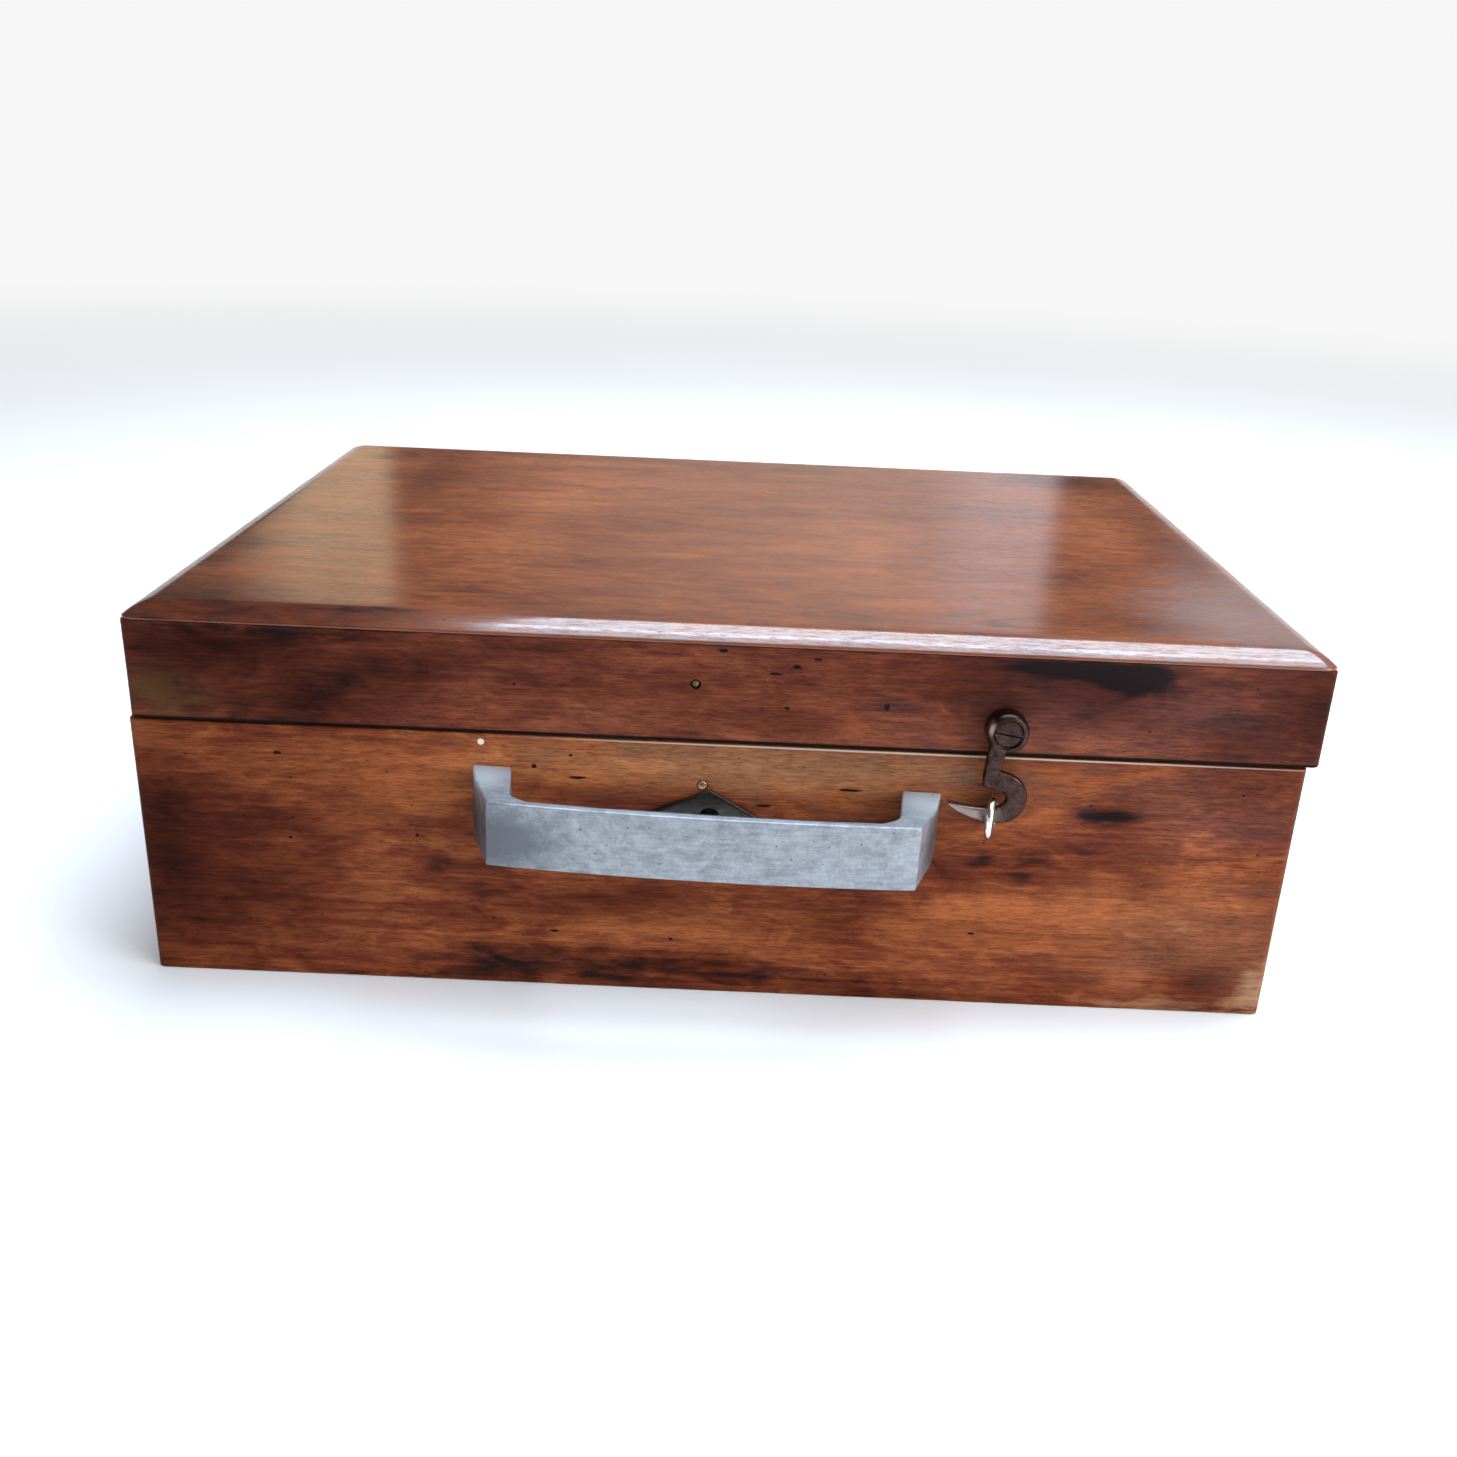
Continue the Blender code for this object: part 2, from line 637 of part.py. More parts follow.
def strike_plate(steel):
    """The slotted plate in the lid's front board that the bolt rises through."""
    x = KEYHOLE[0]
    low = LID_BOTTOM
    high = low + STRIKE_THICK
    near_low = (x - STRIKE_HALF_WIDTH, STRIKE_FRONT, low)
    plate = piece("strike_plate", block(near_low, (x + STRIKE_HALF_WIDTH, STRIKE_BACK, high)), steel)
    cut(plate, bolt_room(low - 1, high + 1))
    pattern = countersunk_screw("strike_screw", STRIKE_SCREW, steel)
    for side, screw_x in strike_screw_places():
        place = (screw_x, BOLT_Y, low + 0.1)
        cut(plate, countersink(place, UP, STRIKE_SCREW))
        copy_of(pattern, f"strike_screw_{side}", place, UP)
    bpy.data.objects.remove(pattern)


def strike_screw_places():
    """Side and X of the strike plate's two screws."""
    for side, along in (("left", -STRIKE_SCREW_X), ("right", STRIKE_SCREW_X)):
        yield side, KEYHOLE[0] + along


# Hook and eye


def polar(radius, degrees):
    """X and Z from the hook's pivot, at an angle from straight down, positive to the right."""
    a = math.radians(degrees)
    return radius * math.sin(a), -radius * math.cos(a)


def hook_outline():
    """Neck, C-shaped bend and arm. The arm lies on a circle about the pivot, so it leaves the eye freely."""
    near, far = HOOK_ARM_RADIUS
    tip = polar((near + far) / 2 + 1.2, HOOK_ARM_TIP)
    steps = 6
    upper = []
    lower = []
    for step in range(1, steps + 1):
        share = 1 - step / steps
        upper.append(polar(near + 3.4 * share**2, HOOK_ARM_TIP * share if share else -4))
        lower.append(polar(far - 0.9 * share**4, HOOK_ARM_TIP * share))
    throat = arc((-1.3, -20.6), 2.75, -60, 62, 6)
    bend = arc((-0.4, -20.3), 8.1, -80, 80, 12)
    neck_right = [(-1.0, -11.6), (-0.1, -6.0), (1.0, -2.0)]
    neck_left = [(-4.6, -2.0), (-5.4, -7.0), (-5.9, -13.4), (-5.8, -16.6)]
    return [tip] + lower + bend + neck_right + neck_left + throat[::-1] + upper[::-1]


def hook(iron, steel):
    pivot_x, pivot_z = HOOK_PIVOT
    place = (pivot_x, FRONT, pivot_z)
    obj = piece("hook", prism(hook_outline(), *HOOK_PLATE, "Y"), iron, place)
    ease_edges(obj, 0.6)
    front = HOOK_PLATE[0]
    boss = turned(
        [
            (0, -front + 0.1),
            (HOOK_BOSS_RADIUS - 1.6, -front + 0.1),
            (HOOK_BOSS_RADIUS - 0.4, -front - 0.7),
            (HOOK_BOSS_RADIUS, -front - 2.2),
            (HOOK_BOSS_RADIUS, GAP),
            (0, GAP),
        ],
        24,
    )
    boss.transform(Matrix.Rotation(math.radians(90), 4, "X"))
    join(obj, boss)
    head_top = (0.0, front + 0.3, 0.0)
    cut(obj, countersink(head_top, INWARD, HOOK_SCREW))
    smooth(obj)
    screw = countersunk_screw("hook_screw_pattern", HOOK_SCREW, steel)
    copy_of(screw, "hook_screw", (pivot_x, FRONT + head_top[1], pivot_z), INWARD)
    bpy.data.objects.remove(screw)


def screw_eye(nickel):
    """A wire ring on a pointed shank, its ring standing square to the front and turned a little."""
    ring = turned([(EYE_RADIUS + u, v) for u, v in arc((0, 0), EYE_WIRE, 0, 315, 7)], 24, closed=True)
    ring.transform(Matrix.Rotation(math.radians(90), 4, "Y"))
    eye = piece("screw_eye", ring, nickel, (EYE_X, FRONT, EYE_Z))
    shank = turned([(0, 0.4), (EYE_SHANK, 0.4), (EYE_SHANK, -6.0), (0, -9.0)], 12)
    shank.transform(Matrix.Rotation(math.radians(90), 4, "X"))
    shank.transform(Matrix.Translation((0, EYE_RADIUS, 0)))
    join(eye, shank)
    eye.rotation_euler = (0, 0, EYE_YAW)
    reach = Vector((0, -EYE_OUT, 0))
    reach.rotate(eye.rotation_euler)
    eye.location = (Vector((EYE_X, FRONT, EYE_Z)) + reach) * MM
    smooth(eye)


# Cuts in the boards


def cut_case_front(board):
    x, z = KEYHOLE
    inside = FRONT + WALL + 1
    pocket_half = LOCK_HALF_WIDTH + GAP
    pocket_low = (x - pocket_half, LOCK_FRONT - GAP, LOCK_LOW - GAP)
    pocket = block(pocket_low, (x + pocket_half, inside, CASE_TOP + 1))
    seat_half = CAP_HALF_WIDTH + GAP
    seat_low = (x - seat_half, LOCK_INNER - LOCK_SHEET - GAP, LOCK_LOW + 1 - GAP)
    cap_seat = block(seat_low, (x + seat_half, inside, CASE_TOP + 1))
    cut(board, pocket, cap_seat)
    cut(board, keyhole_tool(FRONT - 1, LOCK_FRONT, KEY_CLEARANCE))
    for _, screw_x in lock_screw_places():
        cut(board, rod(LOCK_SCREW[2] + GAP, LOCK_INNER - 7.6, LOCK_INNER, "Y", (screw_x, z), 12))
    for _, screw_x, screw_z in pull_screw_places():
        cut(board, rod(PULL_SCREW_SHANK + 0.5, FRONT - 1, inside, "Y", (screw_x, screw_z), 12))
    for spot in plate_pin_places():
        cut(board, rod(PLATE_PIN_HOLE, FRONT - 1, FRONT + 3.4, "Y", spot, 10))
    cut(board, rod(CASE_PIN_RADIUS + GAP, FRONT - 1, FRONT + 3.6, "Y", CASE_PIN, 12))
    eye_hole = rod(EYE_SHANK + GAP, -1.0, 10.0, "Y", (0, 0), 12)
    eye_hole.transform(Matrix.Translation((EYE_X, FRONT, EYE_Z)) @ Matrix.Rotation(EYE_YAW, 4, "Z"))
    cut(board, eye_hole)


def cut_lid_front(board):
    x = KEYHOLE[0]
    seat_half = STRIKE_HALF_WIDTH + GAP
    seat_top = LID_BOTTOM + STRIKE_THICK + GAP
    seat_low = (x - seat_half, STRIKE_FRONT - GAP, LID_BOTTOM - 1)
    cut(board, block(seat_low, (x + seat_half, FRONT + WALL + 1, seat_top)))
    cut(board, bolt_room(LID_BOTTOM, CASE_TOP + BOLT_LIFT + 2))
    for _, screw_x in strike_screw_places():
        cut(board, rod(STRIKE_SCREW[2] + GAP, LID_BOTTOM, LID_BOTTOM + 10, "Z", (screw_x, BOLT_Y), 12))
    cut(board, rod(HOOK_SCREW[2] + GAP, FRONT - 1, FRONT + 8, "Y", HOOK_PIVOT, 12))
    cut(board, rod(LID_PIN_RADIUS + 0.4, FRONT - 1, FRONT + 6.4, "Y", LID_PIN, 12))


def main():
    clear_scene()
    wood = material("stained_wood", (0.24, 0.075, 0.03), 0.35)
    lid_wood = material("lid_wood", (0.27, 0.085, 0.035), 0.3)
    inside_wood = material("inside_wood", (0.42, 0.24, 0.12), 0.6)
    plywood = material("bottom_plywood", (0.45, 0.28, 0.15), 0.65)
    aluminium = material("cast_aluminium", (0.55, 0.58, 0.62), 0.4, 1.0)
    iron = material("dark_iron", (0.06, 0.05, 0.045), 0.45, 0.9)
    nickel = material("nickel_wire", (0.8, 0.78, 0.75), 0.15, 1.0)
    steel = material("screw_steel", (0.35, 0.34, 0.33), 0.4, 1.0)
    dark_steel = material("plate_steel", (0.09, 0.085, 0.08), 0.45, 0.9)
    brass = material("hinge_brass", (0.6, 0.43, 0.18), 0.35, 1.0)

    case_boards = mitred_boards("case", 0.0, CASE_WIDTH / 2, 0.0, CASE_TOP, wood)
    lid_centre = (LID_LEFT + LID_RIGHT) / 2
    lid_half = (LID_RIGHT - LID_LEFT) / 2
    lid_boards = mitred_boards("lid", lid_centre, lid_half, LID_BOTTOM, LID_FRAME_TOP, lid_wood)
    cut_case_front(case_boards["front"])
    cut_lid_front(lid_boards["front"])
    hinge_recesses(case_boards["back"], CASE_TOP, -1)
    hinge_recesses(lid_boards["back"], LID_BOTTOM, 1)
    lid_top_board(lid_wood)
    inside_boards(inside_wood, plywood)
    hinges(brass, steel)
    pull(aluminium, steel)
    keyhole_plate(dark_steel, brass)
    lock(steel, brass)
    strike_plate(steel)
    hook(iron, iron)
    screw_eye(nickel)
    pin("case_front_pin", CASE_PIN_RADIUS, FRONT - 0.4, FRONT + 3.2, CASE_PIN, brass)
    pin("lid_front_pin", LID_PIN_RADIUS, FRONT + 0.6, FRONT + 6.0, LID_PIN, brass)


main()
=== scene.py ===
"""Looks for a lidded wooden cash box: worn stained boards, a cast aluminium pull, a lozenge keyhole plate, a
hook and eye, butt hinges and a till lock, on a plain pale floor.

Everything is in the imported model's frame: the origin is the centre of the case's underside, +X to the
right of someone facing the front, -Y towards them and +Z up. Sizes given in millimetres are turned into
metres by MM.
"""

import math

import bmesh
import bpy
import numpy as np
from mathutils import Matrix, Vector


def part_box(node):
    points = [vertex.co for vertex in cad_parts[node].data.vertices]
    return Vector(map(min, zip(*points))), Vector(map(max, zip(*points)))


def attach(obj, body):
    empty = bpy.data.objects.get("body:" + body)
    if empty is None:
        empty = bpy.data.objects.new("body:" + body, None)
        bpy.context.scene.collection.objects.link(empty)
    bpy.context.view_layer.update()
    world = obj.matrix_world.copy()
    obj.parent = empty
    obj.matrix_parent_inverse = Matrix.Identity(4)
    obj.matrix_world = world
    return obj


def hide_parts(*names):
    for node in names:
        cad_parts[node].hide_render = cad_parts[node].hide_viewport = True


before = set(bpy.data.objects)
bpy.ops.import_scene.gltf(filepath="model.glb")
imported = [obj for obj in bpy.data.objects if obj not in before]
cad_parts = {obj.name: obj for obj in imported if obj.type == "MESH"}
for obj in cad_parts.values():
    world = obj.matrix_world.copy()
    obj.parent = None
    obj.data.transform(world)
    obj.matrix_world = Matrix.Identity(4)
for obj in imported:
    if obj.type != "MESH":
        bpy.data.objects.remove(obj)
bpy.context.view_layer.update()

MM = 0.001

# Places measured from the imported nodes, in millimetres


def node_box(node, grow=0.0):
    low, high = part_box(node)
    return np.array(low) / MM - grow, np.array(high) / MM + grow


def node_middle(node):
    low, high = node_box(node)
    return (low + high) / 2


CASE_LOW = node_box("case_left")[0]
CASE_HIGH = node_box("case_right")[1]
LID_LOW = node_box("lid_left")[0]
LID_HIGH = node_box("lid_right")[1]
TOP_LOW, TOP_HIGH = node_box("lid_top")
FRONT = node_box("case_front")[0][1]
BACK = -FRONT
CASE_HALF = CASE_HIGH[0]
CASE_TOP = CASE_HIGH[2]
LID_MID = (LID_LOW[0] + LID_HIGH[0]) / 2
LID_HALF = (LID_HIGH[0] - LID_LOW[0]) / 2
LID_BOTTOM = LID_LOW[2]
FRAME_TOP = LID_HIGH[2]
LID_TOP = TOP_HIGH[2]

WALL = 12.0
CORNER_RADIUS = 2.5
MITRE_GAP = 0.05
CLEARANCE = 0.3


# Meshes


LATTICE = 64


def soft_noise(u, v, cell, seed):
    """Smooth values between -1 and 1. Seeded random heights stand on a square lattice of the given cell, and
    each point blends the four round it by the curve 3t^2 - 2t^3 in both directions."""
    heights = np.random.default_rng(seed).uniform(-1, 1, (LATTICE, LATTICE))
    row = np.floor(u / cell).astype(int)
    column = np.floor(v / cell).astype(int)
    along = u / cell - row
    across = v / cell - column
    along = along * along * (3 - 2 * along)
    across = across * across * (3 - 2 * across)

    def between(at):
        at = at % LATTICE
        return heights[row % LATTICE, at] * (1 - along) + heights[(row + 1) % LATTICE, at] * along

    return between(column) * (1 - across) + between(column + 1) * across


def grid_shell(points, closed_rows=False, closed_columns=False, cap_rows=False, cap_columns=False):
    """Vertices and faces of a grid of points: a quad between each four neighbours, wrapped round where a
    direction is closed, and one flat face over each open end that is to be capped."""
    rows, columns = points.shape[:2]
    index = np.arange(rows * columns).reshape(rows, columns)
    first_row, last_row = index[0], index[-1]
    first_column, last_column = index[:, 0], index[:, -1]
    if closed_rows:
        index = np.vstack([index, index[:1]])
    if closed_columns:
        index = np.hstack([index, index[:, :1]])
    quads = np.stack([index[:-1, :-1], index[:-1, 1:], index[1:, 1:], index[1:, :-1]], -1)
    faces = quads.reshape(-1, 4).tolist()
    if cap_rows:
        faces += [first_row.tolist(), last_row[::-1].tolist()]
    if cap_columns:
        faces += [first_column[::-1].tolist(), last_column.tolist()]
    return points.reshape(-1, 3), faces


def make_piece(name, shells, look, sharp=35.0):
    """An object from shells of (vertices in mm, faces): doubles merged, flat slivers dropped, faces turned
    outwards, and shaded smooth except across edges sharper than the given angle."""
    vertices = np.vstack([points for points, cells in shells])
    faces = []
    start = 0
    for points, cells in shells:
        faces += [[start + corner for corner in cell] for cell in cells]
        start += len(points)
    mesh = bpy.data.meshes.new(name)
    mesh.from_pydata((vertices * MM).tolist(), [], faces)
    bm = bmesh.new()
    bm.from_mesh(mesh)
    bmesh.ops.remove_doubles(bm, verts=bm.verts, dist=1e-7)
    bmesh.ops.dissolve_degenerate(bm, edges=bm.edges, dist=1e-7)
    bmesh.ops.recalc_face_normals(bm, faces=bm.faces)
    if bm.calc_volume(signed=True) < 0:
        bmesh.ops.reverse_faces(bm, faces=bm.faces)
    bm.to_mesh(mesh)
    bm.free()
    mesh.materials.append(look)
    obj = bpy.data.objects.new(name, mesh)
    bpy.context.scene.collection.objects.link(obj)
    shade(obj, sharp)
    return obj


def shade(obj, sharp=35.0):
    obj.data.shade_smooth()
    obj.data.set_sharp_from_angle(angle=math.radians(sharp))


def settle(obj):
    """Replaces an object's mesh with the one its modifiers make."""
    graph = bpy.context.evaluated_depsgraph_get()
    shaped = bpy.data.meshes.new_from_object(obj.evaluated_get(graph))
    obj.modifiers.clear()
    obj.data = shaped


def combine(obj, operation, tools):
    """Cuts or joins each tool, given as a list of shells."""
    for number, shells in enumerate(tools):
        helper = make_piece(f"{obj.name}_tool_{number}", shells, obj.data.materials[0])
        step = obj.modifiers.new("Shape", "BOOLEAN")
        step.operation = operation
        step.object = helper
        bpy.context.view_layer.update()
        settle(obj)
        bpy.data.objects.remove(helper)
    shade(obj)


def carve(obj, *tools):
    combine(obj, "DIFFERENCE", tools)


def weld(obj, *tools):
    combine(obj, "UNION", tools)


def box_shell(low, high):
    """A rectangular cutter: the eight corners between two points, as a grid of four columns and two rows."""
    xs = np.array([low[0], high[0], high[0], low[0]])
    ys = np.array([low[1], low[1], high[1], high[1]])
    ring = np.stack([xs, ys, np.zeros(4)], -1)
    points = np.stack([ring + (0, 0, low[2]), ring + (0, 0, high[2])])
    return [grid_shell(points, closed_columns=True, cap_rows=True)]


def axis_frame(direction):
    """Rotation that carries +Z to a direction."""
    return np.array(Vector(direction).to_track_quat("Z", "Y").to_matrix())


def turned_shell(profile, place, direction, sides):
    """A lathe-turned form. Profile points (radius r, height h) spin about the axis: the point at angle a is
    r cos a, r sin a, h, then turned so that the axis lies along the direction and moved to its place."""
    line = np.array(profile, float)
    angle = np.linspace(0, math.tau, sides, endpoint=False)
    reach, height = line[:, :1], np.repeat(line[:, 1:], sides, 1)
    points = np.stack([reach * np.cos(angle), reach * np.sin(angle), height], -1)
    points = points @ axis_frame(direction).T + np.array(place, float)
    return grid_shell(points, closed_columns=True)


def drill(radius, start, length, direction=(0, 1, 0), sides=24):
    """A round cutter from start, of the given length along its direction."""
    return [turned_shell([(0, 0), (radius, 0), (radius, length), (0, length)], start, direction, sides)]


def arc_points(centre, radius, start, end, count):
    """Points (cx + r cos a, cy + r sin a) for count angles from start to end in degrees."""
    angle = np.radians(np.linspace(start, end, count))
    return np.stack([centre[0] + radius * np.cos(angle), centre[1] + radius * np.sin(angle)], -1)


def outline_normals(outline):
    """Unit vectors that point inwards from a closed anticlockwise outline: the mean of the two neighbouring
    edges' left-hand normals, lengthened at a corner so that both edges move in by the same amount."""
    ahead = np.roll(outline, -1, 0) - outline
    ahead /= np.linalg.norm(ahead, axis=1)[:, None]
    behind = np.roll(ahead, 1, 0)
    left = np.stack([-ahead[:, 1], ahead[:, 0]], -1)
    left_behind = np.stack([-behind[:, 1], behind[:, 0]], -1)
    both = left + left_behind
    both /= np.linalg.norm(both, axis=1)[:, None]
    share = np.clip((both * left).sum(1), 0.5, 1)
    return both / share[:, None]


def eased_prism(outline, low, high, ease, steps=4):
    """A flat closed outline pushed from low to high with rounded rims. At a rim angle a the outline moves in
    by e(1 - cos a) and its height stays e(1 - sin a) short of the face. The ease e is one number, or one for
    each point of the outline."""
    outline = np.array(outline, float)
    ease = np.broadcast_to(ease, len(outline))
    area = (outline[:, 0] * np.roll(outline[:, 1], -1) - outline[:, 1] * np.roll(outline[:, 0], -1)).sum()
    if area < 0:
        outline = outline[::-1]
        ease = ease[::-1]
    inward = outline_normals(outline)
    angle = np.linspace(math.pi / 2, 0, steps + 1)[:, None]
    inset = ease * (1 - np.cos(angle))
    short = ease * (1 - np.sin(angle))
    insets = np.concatenate([inset, inset[::-1]])
    heights = np.concatenate([low + short, (high - short)[::-1]])
    flat = outline[None] + inward[None] * insets[:, :, None]
    return grid_shell(np.concatenate([flat, heights[:, :, None]], -1), closed_columns=True, cap_rows=True)


def laid(shell, order, turn=0.0, place=(0, 0, 0)):
    """A shell with its axes put in another order ('XZY' sends its third axis to Y), turned about Y by an
    angle and moved to its place."""
    points, faces = shell
    columns = [order.index(axis) for axis in "XYZ"]
    points = points[:, columns]
    spin = np.array(Matrix.Rotation(turn, 3, "Y"))
    return points @ spin.T + np.array(place, float), faces


# Boards


BOARD_SPACING = 2.6
ARRIS_RADIUS = 0.55
FACE_SINK = 0.06


def mitred_board(half_long, out, low, high, seed):
    """One mitred board lying along X, its outer face towards -Y.

    A closed section of (depth in from the face, height) is carried along the length. At depth d the face
    line is a rounded rectangle's outline moved in by d: its corners have radius max(R - d, 0) and start
    max(R, d) from the end, and the ends are cut at 45 degrees. The two outer arrises have a radius that
    wanders along the length, and the face sinks here and there by a few hundredths of a millimetre."""
    arc_count = 8
    straight = int(2 * half_long / BOARD_SPACING)
    reach = np.concatenate([np.full(arc_count, -1.0), np.linspace(-1, 1, straight), np.full(arc_count, 1.0)])
    quarter = np.radians(np.linspace(0, 45, arc_count + 1))
    swing = np.concatenate([-quarter[:0:-1], np.zeros(straight), quarter[1:]])
    along = reach * half_long

    tall = high - low
    rim = np.radians(np.linspace(0, 90, 6))
    even = np.linspace(BOARD_SPACING, tall - BOARD_SPACING, int(tall / BOARD_SPACING))
    face = np.concatenate([[0.8, 1.6], even, [tall - 1.6, tall - 0.8]])
    inner = np.linspace(tall, 0, int(tall / 8) + 2)[:-1]

    def section(foot, low_rim, flat, high_rim, head, back):
        """One value for each point, from the foot over lower rim, face, upper rim and head to the back."""
        parts = (foot, low_rim + 0 * rim, flat + 0 * face, high_rim + 0 * rim, [head], back + 0 * inner)
        return np.concatenate(parts)[:, None]

    arris = ARRIS_RADIUS + 0.22 * soft_noise(along, 0 * along, 23.0, seed)
    arris += 0.1 * soft_noise(along, 0 * along, 5.0, seed + 1)
    depth = section([WALL, WALL / 2], 0, 0, 0, WALL / 2, WALL)
    depth = depth + arris * section([0, 0], 1 - np.sin(rim), 0, 1 - np.cos(rim), 0, 0)
    height = low + section([0, 0], 0, face, tall, tall, inner)
    height = height + arris * section([0, 0], 1 - np.cos(rim), 0, np.sin(rim) - 1, 0, 0)
    sink = FACE_SINK * soft_noise(along[None] + 900, height, 31.0, seed + 2)
    depth = depth + np.abs(sink) * section([0, 0], 0, np.sin(np.pi * face / tall) ** 0.5, 0, 0, 0)

    corner = np.maximum(CORNER_RADIUS, depth)
    bend = np.maximum(CORNER_RADIUS - depth, 0)
    x = reach * (half_long - MITRE_GAP - corner) + bend * np.sin(swing)
    y = -out + corner - bend * np.cos(swing)
    return grid_shell(np.stack([x, y, height], -1), closed_rows=True, cap_columns=True)


TURNS = {"front": 0, "right": 90, "back": 180, "left": 270}
INWARD = {"front": (0, 1, 0), "right": (-1, 0, 0), "back": (0, -1, 0), "left": (1, 0, 0), "top": (0, 0, -1)}
INWARD_SHARE = 0.9


def placed_board(name, side, half_x, centre_x, low, high, look, seed):
    """A mitred board turned to its side of the case or lid."""
    half_long, out = (half_x, BACK) if side in ("front", "back") else (BACK, half_x)
    points, faces = mitred_board(half_long, out, low, high, seed)
    spin = np.array(Matrix.Rotation(math.radians(TURNS[side]), 3, "Z"))
    return make_piece(name, [(points @ spin.T + (centre_x, 0, 0), faces)], look)


def leave_inside_bare(board, side, look):
    """Faces whose normal lies within about 25 degrees of the way inwards take the plain inner finish."""
    cells = board.data.polygons
    normal = np.empty(len(cells) * 3, np.float32)
    cells.foreach_get("normal", normal)
    faces_in = normal.reshape(-1, 3) @ np.array(INWARD[side], np.float32) > INWARD_SHARE
    board.data.materials.append(look)
    cells.foreach_set("material_index", faces_in.astype(np.int32))
    board.data.update()


def rounded_outline(half_x, half_y, radius, spacing):
    """A rectangle with round corners, anticlockwise: four arcs, and four straights between them with the
    numbers of points that spacing gives for the sides and ends."""
    runs = []
    for start, sx, sy in ((-90, 1, -1), (0, 1, 1), (90, -1, 1), (180, -1, -1)):
        centre = (sx * (half_x - radius), sy * (half_y - radius))
        runs.append(arc_points(centre, radius, start, start + 90, 9))
    line = []
    for run, after, count in zip(runs, runs[1:] + runs[:1], 2 * spacing):
        line += [run, run[-1] + (after[0] - run[-1]) * np.linspace(0, 1, count + 2)[1:-1, None]]
    return np.vstack(line)


ROUND_DEPTH = 9.0
ROUND_DROP = 3.8
JOINT_LINE = 0.12
EDGE_WANDER = 0.16
TOP_DIP = 0.05


def lid_top_points():
    """The thin board over the lid. Rings of a rounded rectangle climb its side and follow a shallow arc of
    radius (D^2 + d^2) / 2d over the edge, then shrink in proportion to the middle of the flat; below, they
    shrink to the middle of the underside. The arc wanders a little along the edge."""
    half_x = (TOP_HIGH[0] - TOP_LOW[0]) / 2
    centre_x = (TOP_HIGH[0] + TOP_LOW[0]) / 2
    arc_radius = (ROUND_DEPTH**2 + ROUND_DROP**2) / (2 * ROUND_DROP)
    sweep = np.linspace(math.asin(ROUND_DEPTH / arc_radius), 0, 15)
    arc_inset = ROUND_DEPTH - arc_radius * np.sin(sweep)
    arc_height = LID_TOP - arc_radius * (1 - np.cos(sweep))
    bottom = FRAME_TOP + JOINT_LINE
    inset = np.concatenate([[0.12, 0.03, 0], arc_inset])
    height = np.concatenate([[bottom, bottom + 0.04, bottom + 0.14], arc_height])
    rings = []
    for gone, high in zip(inset, height):
        radius = max(CORNER_RADIUS + 1.5 - gone / 4, 0.8)
        flat = rounded_outline(half_x - gone, BACK - gone, radius, (84, 118))
        rings.append(np.column_stack([flat[:, 0] + centre_x, flat[:, 1], np.full(len(flat), high)]))
    rings = np.array(rings)
    edge = rings[0]
    wander = soft_noise(edge[:, 0] + 700, edge[:, 1] + 900, 37.0, 71)
    lift = np.sin(np.pi * np.clip((height - arc_height[0]) / ROUND_DROP, 0, 1))
    rings[:, :, 2] -= EDGE_WANDER * lift[:, None] * np.abs(wander)
    middle = np.array([centre_x, 0, 0])
    shrink = np.linspace(1, 0, 34)[1:, None, None]
    flat_top = middle + (rings[-1] * (1, 1, 0) - middle) * shrink + (0, 0, LID_TOP)
    dip = TOP_DIP * np.abs(soft_noise(flat_top[:, :, 0] + 500, flat_top[:, :, 1] + 500, 43.0, 72))
    flat_top[:, :, 2] -= dip * (1 - shrink[:, :, 0])
    under = middle + (rings[0] * (1, 1, 0) - middle) * np.linspace(0, 1, 7)[:-1, None, None] + (0, 0, bottom)
    return grid_shell(np.concatenate([under, rings, flat_top]), closed_columns=True)


# Marks on the boards: dark stains and a painted shadow, amber with some painted light, pale wear, olive bloom


def spread(u, v, spots):
    """Sum of soft ovals. A spot (centre u, centre v, half width a, half height b, strength s) adds
    s exp(-((du/a)^2 + (dv/b)^2))."""
    if not spots:
        return np.zeros_like(u)
    cu, cv, a, b, s = (np.array(column)[:, None] for column in zip(*spots))
    return (s * np.exp(-(((u - cu) / a) ** 2) - ((v - cv) / b) ** 2)).sum(0)


WEAR_REACH = 0.9
# For the dark, amber, worn and olive marks: how many strays, their half width and height, and strength
STRAYS = ((9, 16, 6, 0.7), (9, 26, 9, 0.7), (4, 9, 4, 0.4), (3, 12, 6, 0.5))


